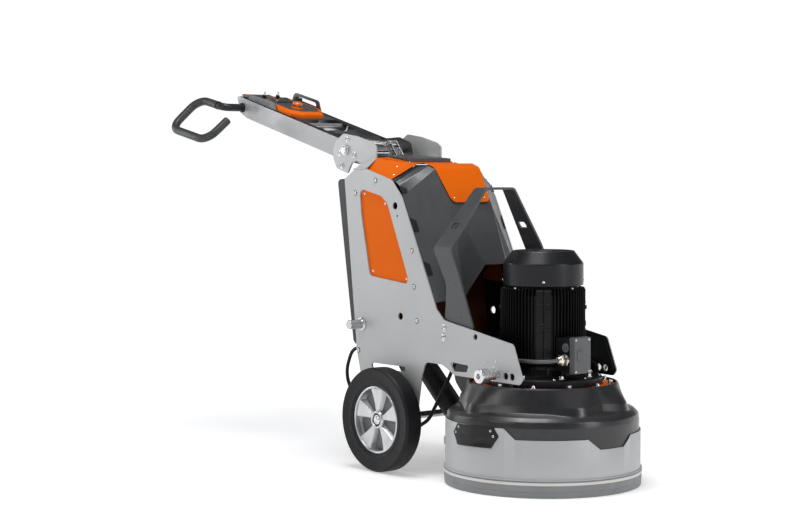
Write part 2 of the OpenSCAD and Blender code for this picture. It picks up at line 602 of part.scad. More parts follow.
module skirt_covers() color(c_black) place() both() {
  difference() {
    intersection() {
      rotate_extrude() polygon([[shell_r, 140], [shell_r + 3.6, 140], [shell_r + 3.6, 230], [shell_r, 230]]);
      plate_y([[-68, 221, 4], [98, 224, 6], [115, 195, 4], [88, 155, 6], [-68, 151, 6],
        [-95, 188, 4]], -400, -100);
    }
    rotate_extrude() polygon([[shell_r + 2.2, 160], [shell_r + 6, 160], [shell_r + 6, 188],
      [shell_r + 2.2, 188]]);
  }
  for (h = [[-60, 210], [-76, 190], [88, 211], [98, 194]]) {
    y = sqrt(shell_r * shell_r - h[0] * h[0]);
    rotate([0, 0, atan2(-y, h[0])]) pin_x(0, h[1], 4, shell_r + 2, shell_r + 4.6);
  }
}

module lock_pin(s) color(c_zinc) place() side(s) {
  pin_y(pin_x, pin_z, pin_r, -292, -198);
  difference() {
    pin_y(pin_x, pin_z, 24, -310, -272);
    pin_y(pin_x, pin_z, 9, -312, -296);
  }
  pin_y(pin_x, pin_z, 16, -272, -yo - 12);
  translate([pin_x, -yo - 18, pin_z]) cylinder(r = 3, h = 34);
}

side_plate(-1);  // side_plate_right
side_plate(1);  // side_plate_left
inner_plate(-1);  // inner_plate_right
inner_plate(1);  // inner_plate_left
window_panel(-1);  // window_panel_right
window_panel(1);  // window_panel_left
front_cover();
top_cover();
top_lid();
bulkhead();
cabinet_floor();
frequency_drive();
edge_clips();
lifting_bow();
wheel_axle();
cable_posts();
chassis_fasteners();
hinge_brackets();
handle_pivot();
dust_hose();
cable_loop();
rear_door();
door_latch();
tyre(-1);  // tyre_right
rim(-1);  // rim_right
tyre(1);  // tyre_left
rim(1);  // rim_left
handle_arm(-1);  // handle_arm_right
handle_arm(1);  // handle_arm_left
handle_tubes();
handlebar();
handle_grips();
spring_cylinder();
spring_rod();
panel_deck();
panel_housing();
panel_display();
estop_button();
speed_knob();
toggle(-60);  // toggle_right
toggle(5);  // toggle_left
start_button();
base_plate();
dome_cover();
motor_flange();
motor_body();
fan_cowl();
terminal_box();
motor_cable();
head_fasteners();
cooling_fan();
planet_carrier();
grinding_disc(1);  // grinding_disc_1
grinding_disc(2);  // grinding_disc_2
grinding_disc(3);  // grinding_disc_3
skirt_shell();
skirt_seal();
skirt_covers();
lock_pin(-1);  // lock_pin_right
lock_pin(1);  // lock_pin_left
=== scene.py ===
"""Looks for the planetary floor grinder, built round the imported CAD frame.

Blender works in metres; the lengths in this file are in mm.
"""
import json
import math
import random

import bmesh
import bpy
from mathutils import Matrix, Vector

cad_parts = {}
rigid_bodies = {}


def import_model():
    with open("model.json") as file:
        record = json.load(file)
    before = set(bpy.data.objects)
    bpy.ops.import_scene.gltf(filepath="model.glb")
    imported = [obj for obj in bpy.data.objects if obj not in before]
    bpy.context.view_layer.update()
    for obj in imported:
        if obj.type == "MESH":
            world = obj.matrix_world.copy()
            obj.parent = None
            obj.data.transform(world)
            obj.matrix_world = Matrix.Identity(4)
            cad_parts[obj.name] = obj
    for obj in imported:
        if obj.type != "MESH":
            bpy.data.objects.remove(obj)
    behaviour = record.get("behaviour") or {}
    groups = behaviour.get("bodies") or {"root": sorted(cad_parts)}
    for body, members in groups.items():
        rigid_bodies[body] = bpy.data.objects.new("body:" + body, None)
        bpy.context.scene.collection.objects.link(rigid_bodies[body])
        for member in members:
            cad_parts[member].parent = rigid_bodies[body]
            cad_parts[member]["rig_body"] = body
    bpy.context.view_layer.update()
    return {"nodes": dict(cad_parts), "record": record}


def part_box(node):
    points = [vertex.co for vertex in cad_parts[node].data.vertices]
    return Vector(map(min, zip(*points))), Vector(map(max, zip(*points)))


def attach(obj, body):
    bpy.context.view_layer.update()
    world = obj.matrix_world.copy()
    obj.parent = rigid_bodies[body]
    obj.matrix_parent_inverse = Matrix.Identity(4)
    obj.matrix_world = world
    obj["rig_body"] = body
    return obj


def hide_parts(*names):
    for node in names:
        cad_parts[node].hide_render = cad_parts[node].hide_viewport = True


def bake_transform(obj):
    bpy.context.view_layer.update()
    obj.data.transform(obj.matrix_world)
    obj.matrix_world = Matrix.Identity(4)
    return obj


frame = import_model()
NODES = frame["nodes"]
MM = 0.001
rad = math.radians
random.seed(7)

lo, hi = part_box("skirt_seal")
HX = (lo.x + hi.x) / 2 / MM          # head centre
PIVOT = (-877.0, 1126.0)             # handle pivot, from the head centre
TILT = rad(15.06)
HEAD = Matrix.Translation((HX * MM, 0, 0)) @ Matrix.Scale(MM, 4)
MAST = Matrix.Translation(((HX + PIVOT[0]) * MM, 0, PIVOT[1] * MM)) @ Matrix.Rotation(TILT, 4,
        "Y") @ Matrix.Scale(MM, 4)


# ------------------------------------------------------------------ camera, light, floor
def setup_stage():
    sc = bpy.context.scene
    cam = bpy.data.cameras.new("cam")
    cam.sensor_width = 36
    cam.lens = 85.43
    cam.clip_end = 60
    ob = bpy.data.objects.new("cam", cam)
    sc.collection.objects.link(ob)
    az, pitch = rad(50.17), rad(3.175)
    fw = Vector((-math.sin(az) * math.cos(pitch), math.cos(az) * math.cos(pitch), -math.sin(pitch)))
    ob.location = (4.5666 + HX * MM, -4.4495, 1.0889)
    ob.rotation_euler = fw.to_track_quat("-Z", "Y").to_euler()
    sc.camera = ob
    sc.view_settings.view_transform = "Standard"

    world = bpy.data.worlds.new("world")
    sc.world = world
    world.use_nodes = True
    nt = world.node_tree
    bg = nt.nodes["Background"]
    bg.inputs[1].default_value = 1.0
    tc = nt.nodes.new("ShaderNodeTexCoord")
    sep = nt.nodes.new("ShaderNodeSeparateXYZ")
    ramp = nt.nodes.new("ShaderNodeValToRGB")
    nt.links.new(tc.outputs["Generated"], sep.inputs[0])
    nt.links.new(sep.outputs[2], ramp.inputs[0])
    nt.links.new(ramp.outputs[0], bg.inputs[0])
    els = ramp.color_ramp.elements
    els[0].position, els[0].color = 0.0, (1.05, 1.05, 1.05, 1)
    els[1].position, els[1].color = 1.0, (0.50, 0.51, 0.52, 1)
    for p, v in ((0.11, 1.05), (0.16, 0.11), (0.55, 0.11)):
        e = els.new(p)
        e.color = (v, v, v * 1.01, 1)

    def area(name, loc, target, size, power, size_y=None):
        l = bpy.data.lights.new(name, "AREA")
        l.energy = power
        l.shape = "RECTANGLE"
        l.size = size
        l.size_y = size_y or size
        o = bpy.data.objects.new(name, l)
        sc.collection.objects.link(o)
        o.location = loc
        o.rotation_euler = (Vector(target) - Vector(loc)).to_track_quat("-Z", "Y").to_euler()

    area("key", (0.2, -3.4, 2.6), (0.1, 0, 0.6), 1.4, 25)
    area("side", (4.0, 0.9, 2.0), (0.7, 0, 0.5), 0.9, 46, 2.4)
    area("top", (0.4, -0.5, 4.2), (0.1, 0, 0.5), 1.8, 92)
    area("left", (-3.2, -1.6, 1.8), (-0.2, 0, 0.7), 0.9, 26, 2.2)

    bm = bmesh.new()
    bmesh.ops.create_grid(bm, x_segments=4, y_segments=4, size=30)
    me = bpy.data.meshes.new("floor")
    bm.to_mesh(me)
    bm.free()
    floor = bpy.data.objects.new("floor", me)
    sc.collection.objects.link(floor)
    floor.location.z = -0.0005
    m = bpy.data.materials.new("floor_white")
    m.use_nodes = True
    b = m.node_tree.nodes["Principled BSDF"]
    b.inputs["Base Color"].default_value = (0.80, 0.80, 0.81, 1)
    b.inputs["Roughness"].default_value = 0.6
    b.inputs["Emission Color"].default_value = (1, 1, 1, 1)
    nt = m.node_tree
    tc = nt.nodes.new("ShaderNodeTexCoord")
    ln = nt.nodes.new("ShaderNodeVectorMath")
    ln.operation = "LENGTH"
    mr = nt.nodes.new("ShaderNodeMapRange")
    mr.interpolation_type = "SMOOTHSTEP"
    for i, v in enumerate((0.6, 3.6, 0.36, 0.80)):
        mr.inputs[i + 1].default_value = v
    nt.links.new(tc.outputs["Object"], ln.inputs[0])
    nt.links.new(ln.outputs["Value"], mr.inputs[0])
    nt.links.new(mr.outputs[0], b.inputs["Emission Strength"])
    me.materials.append(m)


# ------------------------------------------------------------------ materials
def surface(name, color, rough, metal=0.0, coat=0.0, coat_rough=0.15, spec=0.5, var=0.08, patch=5.0,
        grain=(700.0, 0.12), rough_var=0.08, dust=0.0, dust_color=(0.42, 0.40, 0.37), wear=0.0,
        wear_color=(0.6, 0.6, 0.6), edge=0.0012, inner=None):
    """Procedural finish: mottled colour, fine grain bump, varied roughness, dust in patches, worn edges."""
    m = bpy.data.materials.new(name)
    m.use_nodes = True
    nt = m.node_tree
    n, link = nt.nodes, nt.links.new
    b = n["Principled BSDF"]
    b.inputs["Metallic"].default_value = metal
    b.inputs["Coat Weight"].default_value = coat
    b.inputs["Coat Roughness"].default_value = coat_rough
    b.inputs["Specular IOR Level"].default_value = spec
    tc = n.new("ShaderNodeTexCoord")
    co = tc.outputs["Object"]

    def noise(scale, detail):
        t = n.new("ShaderNodeTexNoise")
        t.inputs["Scale"].default_value = scale
        t.inputs["Detail"].default_value = detail
        link(co, t.inputs["Vector"])
        return t.outputs["Fac"]

    def mix(fac, a, c):
        x = n.new("ShaderNodeMix")
        x.data_type = "RGBA"
        link(fac, x.inputs[0])
        for s, v in ((6, a), (7, c)):
            if isinstance(v, tuple):
                x.inputs[s].default_value = (*v, 1)
            else:
                link(v, x.inputs[s])
        return x.outputs[2]

    def remap(v, a, c, d, e):
        r = n.new("ShaderNodeMapRange")
        link(v, r.inputs[0])
        for i, x in enumerate((a, c, d, e)):
            r.inputs[i + 1].default_value = x
        return r.outputs[0]

    big = noise(patch, 4.0)
    low = tuple(max(0.0, c * (1 - var)) for c in color)
    high = tuple(min(1.0, c * (1 + var)) for c in color)
    col = mix(remap(big, 0.3, 0.7, 0.0, 1.0), low, high)
    fine = noise(grain[0], 2.0)
    rgh = remap(noise(patch * 6, 5.0), 0.25, 0.75, max(0.02, rough - rough_var), rough + rough_var)
    if dust:
        sep = n.new("ShaderNodeSeparateXYZ")
        link(co, sep.inputs[0])
        hgt = remap(sep.outputs[2], 0.0, 0.45, 1.0, 0.25)
        mul = n.new("ShaderNodeMath")
        mul.operation = "MULTIPLY"
        link(hgt, mul.inputs[0])
        link(remap(noise(14.0, 6.0), 0.45, 0.8, 0.0, dust), mul.inputs[1])
        col = mix(mul.outputs[0], col, dust_color)
    # faces with |y| below inner turn near-black: black inner paint on the side plates and window panels,
    # painted shade inside the handle arms' U channel
    if inner:
        sep = n.new("ShaderNodeSeparateXYZ")
        link(co, sep.inputs[0])
        ab = n.new("ShaderNodeMath")
        ab.operation = "ABSOLUTE"
        link(sep.outputs[1], ab.inputs[0])
        col = mix(remap(ab.outputs[0], inner, inner + 0.0004, 0.0, 1.0), (0.012, 0.012, 0.013), col)
    bump = n.new("ShaderNodeBump")
    bump.inputs["Strength"].default_value = grain[1]
    bump.inputs["Distance"].default_value = 0.0004
    link(fine, bump.inputs["Height"])
    if wear or edge:
        bev = n.new("ShaderNodeBevel")
        bev.samples = 4
        bev.inputs["Radius"].default_value = edge
        link(bev.outputs[0], bump.inputs["Normal"])
        if wear:
            geo = n.new("ShaderNodeNewGeometry")
            dot = n.new("ShaderNodeVectorMath")
            dot.operation = "DOT_PRODUCT"
            link(bev.outputs[0], dot.inputs[0])
            link(geo.outputs["Normal"], dot.inputs[1])
            msk = remap(dot.outputs["Value"], 0.97, 0.80, 0.0, wear)
            col = mix(msk, col, wear_color)
    link(col, b.inputs["Base Color"])
    link(rgh, b.inputs["Roughness"])
    link(bump.outputs[0], b.inputs["Normal"])
    return m


LOOKS = {
    "plate_grey": dict(color=(0.41, 0.415, 0.42), rough=0.36, metal=0.25, var=0.035, grain=(900, 0.10),
            wear=0.35, wear_color=(0.75, 0.75, 0.76)),
    "plate_two_tone": dict(color=(0.41, 0.415, 0.42), rough=0.36, metal=0.2, var=0.035, grain=(900, 0.10),
            wear=0.35, wear_color=(0.75, 0.75, 0.76), inner=0.2180),
    # orange bulkhead coloured dark brown: painted shade of the cabinet interior
    "bulkhead_orange_painted_shade": dict(color=(0.065, 0.013, 0.003), rough=0.6, spec=0.1, var=0.1, grain=(900, 0.10)),
    # darker copy of the plate grey for the handle arms, with near-black inner faces: painted shade
    "arm_grey_painted_shade": dict(color=(0.31, 0.313, 0.318), rough=0.36, metal=0.25, var=0.04, grain=(900, 0.08),
            wear=0.3, wear_color=(0.72, 0.72, 0.73), inner=0.1164),
    # darker cast aluminium for the recessed wheel web: painted shade
    "cast_aluminium_painted_shade": dict(color=(0.13, 0.132, 0.136), rough=0.45, metal=0.7, var=0.12, grain=(500, 0.12)),
    "door_black": dict(color=(0.022, 0.023, 0.025), rough=0.40, spec=0.4, var=0.08, grain=(900, 0.15),
            wear=0.2, wear_color=(0.25, 0.25, 0.26)),
    "motor_black": dict(color=(0.0035, 0.004, 0.005), rough=0.38, spec=0.22, var=0.15, grain=(900, 0.12)),
    "cowl_black": dict(color=(0.005, 0.0055, 0.007), rough=0.32, spec=0.30, var=0.1, grain=(1200, 0.02)),
    "shell_grey": dict(color=(0.42, 0.425, 0.43), rough=0.46, metal=0.15, var=0.03, grain=(900, 0.08),
            dust=0.06),
    "seal_grey": dict(color=(0.19, 0.20, 0.205), rough=0.55, var=0.08, grain=(400, 0.25), dust=0.15),
    "stripe": dict(color=(0.62, 0.60, 0.56), rough=0.6, var=0.06, grain=(500, 0.2)),
    "graphite_paint": dict(color=(0.052, 0.054, 0.058), rough=0.34, var=0.06, grain=(1100, 0.14),
            wear=0.25, wear_color=(0.3, 0.3, 0.31)),
    "dome_plastic": dict(color=(0.012, 0.0125, 0.014), rough=0.34, coat=0.12, coat_rough=0.22, var=0.06,
            grain=(1300, 0.06), dust=0.03),
    "black_paint": dict(color=(0.008, 0.009, 0.011), rough=0.40, spec=0.36, var=0.15, grain=(900, 0.18),
            wear=0.12, wear_color=(0.10, 0.10, 0.11)),
    "orange_paint": dict(color=(0.62, 0.108, 0.003), rough=0.42, spec=0.06, var=0.03, grain=(1100, 0.10)),
    "window_orange": dict(color=(0.66, 0.112, 0.003), rough=0.42, spec=0.05, var=0.03, grain=(1100, 0.08),
            inner=0.2154),
    "zinc_steel": dict(color=(0.66, 0.66, 0.67), rough=0.26, metal=1.0, var=0.05, patch=40,
            grain=(1500, 0.04)),
    "brass_steel": dict(color=(0.74, 0.70, 0.62), rough=0.22, metal=1.0, var=0.1, patch=60,
            grain=(1500, 0.1)),
    "cast_aluminium": dict(color=(0.56, 0.565, 0.575), rough=0.34, metal=1.0, var=0.07, patch=25,
            grain=(500, 0.22)),
    "tyre_rubber": dict(color=(0.006, 0.0063, 0.0075), rough=0.52, spec=0.28, var=0.15, patch=9,
            grain=(380, 0.2), edge=0),
    "grip_rubber": dict(color=(0.021, 0.022, 0.024), rough=0.45, var=0.08, grain=(1600, 0.05), edge=0),
    "hose_rubber": dict(color=(0.010, 0.010, 0.011), rough=0.42, var=0.15, grain=(600, 0.2), dust=0.08,
            edge=0),
    "black_plastic": dict(color=(0.008, 0.008, 0.009), rough=0.45, spec=0.25, var=0.12,
            grain=(1500, 0.25)),
    "grey_plastic": dict(color=(0.075, 0.078, 0.082), rough=0.42, var=0.06, grain=(1500, 0.2)),
    "segment_steel": dict(color=(0.30, 0.29, 0.28), rough=0.5, metal=0.9, var=0.2, patch=30,
            grain=(300, 0.4)),
    "display_glass": dict(color=(0.012, 0.014, 0.018), rough=0.10, coat=0.6, coat_rough=0.04, var=0.1,
            grain=(300, 0.02)),
    "red_plastic": dict(color=(0.62, 0.13, 0.012), rough=0.28, coat=0.4, coat_rough=0.1, var=0.05,
            grain=(900, 0.05)),
    "green_plastic": dict(color=(0.03, 0.25, 0.06), rough=0.3, coat=0.4, var=0.05, grain=(900, 0.05)),
    "white_plastic": dict(color=(0.75, 0.75, 0.74), rough=0.35, var=0.03, grain=(900, 0.08)),
}
M = {name: surface(name, **look) for name, look in LOOKS.items()}


# ------------------------------------------------------------------ mesh helpers (mm)
NEARLY_STRAIGHT = 1.56      # half angle at a corner, rad
NEARLY_FOLDED = 0.01
ON_AXIS = 0.5               # a profile that starts nearer the axis than this is a solid, mm


def cosd(a):
    return math.cos(rad(a))


def sind(a):
    return math.sin(rad(a))


def rot(axis, deg):
    return Matrix.Rotation(rad(deg), 4, axis)


def fillet(a, b, c, r, n):
    """Arc of n steps and radius r in place of corner b of the line a, b, c."""
    u, w = (a - b).normalized(), (c - b).normalized()
    h = math.acos(max(-1, min(1, u.dot(w)))) / 2
    if h > NEARLY_STRAIGHT or h < NEARLY_FOLDED:
        return [b] * (n + 1)
    d = min(r / math.tan(h), 0.48 * (a - b).length, 0.48 * (c - b).length)
    m = b + (u + w).normalized() * (d * math.tan(h) / math.sin(h))
    s, e = b + u * d - m, b + w * d - m
    om = math.pi - 2 * h
    return [m + (s * math.sin(om * (1 - j / n)) + e * math.sin(om * j / n)) / math.sin(om)
            for j in range(n + 1)]


def rnd(pts, n=5):
    """Polygon of (x, y) or (x, y, r) corners, those with r filleted."""
    out = []
    for i, p in enumerate(pts):
        a, b, c = (Vector(pts[(i + d) % len(pts)][:2]) for d in (-1, 0, 1))
        out += fillet(a, b, c, p[2], n) if len(p) > 2 and p[2] > 0 else [b]
    return out


def bent(pts, n=8):
    """3D path of (x, y, z, r) corners, filleted."""
    at_corner = [Vector(p[:3]) for p in pts]
    out = [at_corner[0]]
    for a, b, c, p in zip(at_corner, at_corner[1:], at_corner[2:], pts[1:]):
        out += fillet(a, b, c, p[3], n)
    return out + [at_corner[-1]]


def resample(path, step):
    """Points every step along a path, smoothed."""
    L = [0.0]
    for a, b in zip(path, path[1:]):
        L.append(L[-1] + (b - a).length)
    n = max(2, round(L[-1] / step))
    out, j = [], 0
    for i in range(n + 1):
        s = L[-1] * i / n
        while j < len(L) - 2 and L[j + 1] < s:
            j += 1
        t = (s - L[j]) / max(1e-9, L[j + 1] - L[j])
        out.append(path[j].lerp(path[j + 1], t))
    for _ in range(3):
        out = [out[0]] + [(out[i - 1] + out[i] * 2 + out[i + 1]) / 4 for i in range(1,
                len(out) - 1)] + [out[-1]]
    return out


def ring_faces(bm, a, b):
    n = len(a)
    for i in range(n):
        bm.faces.new((a[i], a[(i + 1) % n], b[(i + 1) % n], b[i]))


def skin(bm, rings, closed=False, caps=(False, False)):
    """Faces between rings; closed joins the last to the first, caps fill the ends."""
    for a, b in zip(rings, rings[1:]):
        ring_faces(bm, a, b)
    if closed:
        ring_faces(bm, rings[-1], rings[0])
    if caps[0]:
        bm.faces.new(rings[0][::-1])
    if caps[1]:
        bm.faces.new(rings[-1])


def lathe(bm, prof, n=96, mat=None, closed=False, caps=(False, False), mod=None):
    """Turned form about z. mod(theta, r, z) may change a point."""
    start = len(bm.verts)
    rings = []
    for r, z in prof:
        ring = []
        for i in range(n):
            t = 2 * math.pi * i / n
            rr, zz = (mod(t, r, z) if mod else (r, z))
            ring.append(bm.verts.new((rr * math.cos(t), rr * math.sin(t), zz)))
        rings.append(ring)
    skin(bm, rings, closed, caps)
    return move(bm, start, mat)


def turned(bm, corners, n, mat=None, steps=3, mod=None):
    """Filleted corners turned about z: a solid where they start on the axis, else a ring."""
    solid = corners[0][0] < ON_AXIS
    return lathe(bm, rnd(corners, steps), n, mat, not solid, (solid, solid), mod)


def move(bm, start, mat):
    bm.verts.ensure_lookup_table()
    vs = bm.verts[start:]
    if mat is not None:
        bmesh.ops.transform(bm, matrix=mat, verts=vs)
    return vs


def tube(bm, path, r, n=16, caps=True, rfun=None):
    """Round section of radius r, or rfun(length so far), along a path."""
    up = Vector((0, 0, 1))
    t0 = (path[1] - path[0]).normalized()
    if abs(t0.dot(up)) > 0.9:
        up = Vector((0, 1, 0))
    a = t0.cross(up).normalized()
    rings = []
    s = 0.0
    for i, p in enumerate(path):
        if i:
            s += (p - path[i - 1]).length
        t = (path[min(i + 1, len(path) - 1)] - path[max(i - 1, 0)]).normalized()
        a = (a - t * a.dot(t)).normalized()
        b = t.cross(a)
        rr = rfun(s) if rfun else r
        ring = []
        for k in range(n):
            w = 2 * math.pi * k / n
            ring.append(bm.verts.new(p + (a * math.cos(w) + b * math.sin(w)) * rr))
        rings.append(ring)
    skin(bm, rings, caps=(caps, caps))


def prism(bm, pts, y0, y1, mat=None):
    """Polygon in the XZ plane pushed from y0 to y1."""
    start = len(bm.verts)
    a = [bm.verts.new((p[0], y0, p[1])) for p in pts]
    b = [bm.verts.new((p[0], y1, p[1])) for p in pts]
    bm.faces.new(a)
    bm.faces.new(b[::-1])
    ring_faces(bm, a, b)
    return move(bm, start, mat)


def box(bm, a, b, mat=None):
    return prism(bm, [(a[0], a[2]), (b[0], a[2]), (b[0], b[2]), (a[0], b[2])], a[1], b[1], mat)


def bevel(bm, w, segs=2, angle=30):
    """Rounds every edge sharper than angle."""
    es = [e for e in bm.edges if len(e.link_faces) == 2 and e.calc_face_angle(0) > rad(angle)]
    if es:
        bmesh.ops.bevel(bm, geom=es, offset=w, offset_type="OFFSET", segments=segs, profile=0.6,
                affect="EDGES", clamp_overlap=True)


def piece(name, bm, mat, body, cad=(), place=HEAD, smooth=38, weighted=True):
    bmesh.ops.remove_doubles(bm, verts=bm.verts, dist=1e-4)
    bmesh.ops.recalc_face_normals(bm, faces=bm.faces)
    if place is not None:
        bmesh.ops.transform(bm, matrix=place, verts=bm.verts)
    me = bpy.data.meshes.new(name)
    bm.to_mesh(me)
    bm.free()
    me.shade_smooth()
    me.set_sharp_from_angle(angle=rad(smooth))
    ob = bpy.data.objects.new(name, me)
    bpy.context.scene.collection.objects.link(ob)
    me.materials.append(M[mat])
    if weighted:
        w = ob.modifiers.new("normals", "WEIGHTED_NORMAL")
        w.keep_sharp = True
    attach(ob, body)
    if cad:
        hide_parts(*cad)
    return ob


def refine(node, mat, w=0.8, angle=28, segs=2):
    """A bevelled copy of a CAD node stands for it."""
    src = NODES[node]
    bm = bmesh.new()
    bm.from_mesh(src.data)
    bmesh.ops.remove_doubles(bm, verts=bm.verts, dist=2e-5)
    bmesh.ops.dissolve_limit(bm, angle_limit=rad(0.8), verts=bm.verts, edges=bm.edges)
    bmesh.ops.transform(bm, matrix=Matrix.Scale(1 / MM, 4), verts=bm.verts)
    bevel(bm, w, segs, angle)
    return piece(node + "_body", bm, mat, src["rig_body"], (node,), Matrix.Scale(MM, 4))


def aim(pos, direction, spin=0.0):
    """Matrix that puts +z along direction at pos."""
    q = Vector(direction).to_track_quat("Z", "Y").to_matrix().to_4x4()
    return Matrix.Translation(pos) @ q @ Matrix.Rotation(spin, 4, "Z")


def bolt(bm, pos, direction, r=8.0, h=6.0, kind="button", washer=True):
    """Fastener head standing on a surface: button (socket), hex or rivet."""
    mat = aim(Vector(pos), direction, random.uniform(0, 6.28))
    z = 0.0
    if washer:
        lathe(bm, [(r * 0.4, 0), (r * 1.38, 0), (r * 1.42, 0.5), (r * 1.38, 1.5), (r * 0.4, 1.5)], 28, mat,
                closed=True)
        z = 1.4
    if kind == "hex":
        start = len(bm.verts)
        rings = []
        for rr, zz in ((r, z), (r, z + h * 0.82), (r * 0.9, z + h), (r * 0.55, z + h),
                (r * 0.5, z + h - 0.6)):
            rings.append([bm.verts.new((rr * cosd(60 * i), rr * sind(60 * i), zz)) for i in range(6)])
        skin(bm, rings, caps=(True, True))
        move(bm, start, mat)
        return
    if kind == "rivet":
        prof = [(r, z), (r, z + h * 0.25)] + [(r * cosd(a), z + h * (0.25 + 0.75 * sind(a))) for a in (20,
                40, 60, 78)] + [(0.3, z + h)]
        lathe(bm, prof, 20, mat, caps=(True, True))
        return
    prof = [(r, z), (r, z + h * 0.3)] + [(r * cosd(a), z + h * (0.3 + 0.7 * sind(a))) for a in (15, 30,
            45)] + [(r * 0.58, z + h), (r * 0.5, z + h)]
    lathe(bm, prof, 24, mat, caps=(True, False))
    start = len(bm.verts)
    rings = []
    for zz in (z + h, z + h * 0.35):
        rings.append([bm.verts.new((r * 0.5 * math.cos(2 * math.pi * i / 24),
                r * 0.5 * math.sin(2 * math.pi * i / 24),
                zz)) if zz > z + h * 0.5 else bm.verts.new((r * 0.44 * cosd(60 * round(i / 4)),
                r * 0.44 * sind(60 * round(i / 4)), zz)) for i in range(24)])
    ring_faces(bm, rings[0], rings[1])
    bm.faces.new(rings[1])
    move(bm, start, mat)


SIDES = (-1, 1)
TAG = {-1: "right", 1: "left"}
YO, YI = 223.5, 217.5                # outer and inner faces of the side plates
WHEEL_X, WHEEL_Y, WHEEL_R = -516, 285, 183
HEAD_TOP = 338                       # top of the orange head plate
PIN_X, PIN_Z = 16, 382               # axis of the lock pins
PADS = (-43.7, 43.7, 136.3, -136.3)  # flat pads of the motor, degrees
DECK = 20.3                          # top of the panel plate, in the mast's frame
STOP_AT, START_AT, KNOB_AT = (-481, -40, 0), (-540, 10, 0), (-590, 45, 0)
TOGGLE_X = -675


# ------------------------------------------------------------------ skirt
HOOK_AT = 130               # degrees from the front


def make_skirt():
    bm = bmesh.new()
    lathe(bm, [(326, 1), (327, 0), (331, 0), (332.2, 1.5), (333.4, 18), (332.6, 19.5), (332.8, 21),
            (333.9, 24), (334.1, 38), (335, 40), (335, 41), (333.8, 42), (333.8, 50), (335, 51),
            (335, 53.5), (333.5, 55), (327, 55), (326, 52)], 220, closed=True)
    piece("seal_ring", bm, "seal_grey", "skirt", ("skirt_seal",), smooth=30)
    bm = bmesh.new()
    lathe(bm, [(333.6, 41.2), (335.3, 41.6), (335.8, 46), (335.3, 50.6), (333.6, 51)], 220, closed=True)
    piece("seal_stripe", bm, "stripe", "skirt")

    def top(t):
        a = abs((t + 180) % 360 - 180)
        keys = [(0, 152), (9.6, 152), (17.6, 187), (59.8, 187), (66.8, 222), (171.0, 222), (171.4, 61),
                (180, 61)]
        for (a0, z0), (a1, z1) in zip(keys, keys[1:]):
            if a <= a1:
                return z0 + (z1 - z0) * (a - a0) / (a1 - a0)
        return 61

    angles = sorted(set([i * 1.5 for i in range(240)] + [s % 360 for k in (9.6, 17.6, 59.8, 66.8, 171.0,
            171.4) for s in (k, -k)]))
    bm = bmesh.new()
    rings = []
    for r, z in ((327, 57), (329.2, 60), (334.2, 59.2), (335, 58.2), (335, 56), (334.2, 55.2),
            (327, 55.2)):
        rings.append([bm.verts.new((r * cosd(a), r * sind(a), z)) for a in angles])
    skin(bm, rings, closed=True)
    rings = []
    for r, dz in ((330, None), (330, -0.8), (329.4, 0), (327.6, 0), (327, -0.8), (327, None)):
        rings.append([bm.verts.new((r * cosd(a), r * sind(a),
                58 if dz is None else top(a) + dz)) for a in angles])
    skin(bm, rings)
    piece("shell_wall", bm, "shell_grey", "skirt", ("skirt_shell",), smooth=40, weighted=False)

    # hooks and slots
    bm = bmesh.new()
    for s in SIDES:
        prism(bm, rnd([(330.1, 128, 1), (333.6, 130, 1.5), (334.4, 141, 2), (333.6, 154, 1.5),
                (330.1, 156, 1)], 3), -8, 8, rot("Z", HOOK_AT * s))
    bevel(bm, 0.8, 2)
    piece("skirt_hooks", bm, "shell_grey", "skirt")
    bm = bmesh.new()
    for s in SIDES:
        prism(bm, rnd([(-6, 96, 5), (6, 96, 5), (6, 117, 5), (-6, 117, 5)], 4), 329.2, 330.5,
                rot("Z", HOOK_AT * s) @ rot("Z", -90))
    piece("skirt_hook_slots", bm, "black_plastic", "skirt")

    refine("skirt_covers", "black_plastic", 0.8)
    bm = bmesh.new()
    for s in SIDES:
        for x, z in ((-60, 211), (-77, 191), (88, 212), (98, 195)):
            y = math.sqrt(333.6 ** 2 - x * x)
            bolt(bm, (x, s * y, z), (x, s * y, 0), 4.4, 1.8, "button", False)
    piece("skirt_screws", bm, "zinc_steel", "skirt")


# ------------------------------------------------------------------ dome
def make_dome():
    peaks = (21, -21, 96, -96, 156, -156)

    def base(t):
        d = min(abs((math.degrees(t) - p + 180) % 360 - 180) for p in peaks)
        return 274 + 31 * math.exp(-(d / 15.0) ** 2)

    n = 288
    bm = bmesh.new()
    rings = None
    for i in range(n):
        t = 2 * math.pi * i / n
        b = base(t)
        k = (b - 274) / 31
        prof = rnd([(321, 76), (325, 76), (325, 224, 8), (321.5, 243, 12), (306 + 3 * k, 257 - 2 * k, 14),
                (b + 1, 266 - 6 * k, 9), (b - 7, 290 - 4 * k, 20), (255.5, 340, 5), (251, 346, 2),
                (246.5, 346, 1), (246.5, 341, 1), (250, 335, 4), (262, 300, 10), (266, 262, 10),
                (302, 250, 10), (317, 236, 8), (321, 220, 6)], 4)
        if rings is None:
            rings = [[] for _ in prof]
        for ring, (r, z) in zip(rings, prof):
            ring.append(bm.verts.new((r * math.cos(t), r * math.sin(t), z)))
    skin(bm, rings, closed=True)
    lathe(bm, [(41.6, 318), (44, 318), (44, 336), (43.4, 338), (41.6, 338)], 64,
            Matrix.Translation((0, 0, 128)) @ rot("Y", -90), closed=True)
    piece("dome_shell", bm, "dome_plastic", "head", ("dome_cover",), smooth=50, weighted=False)


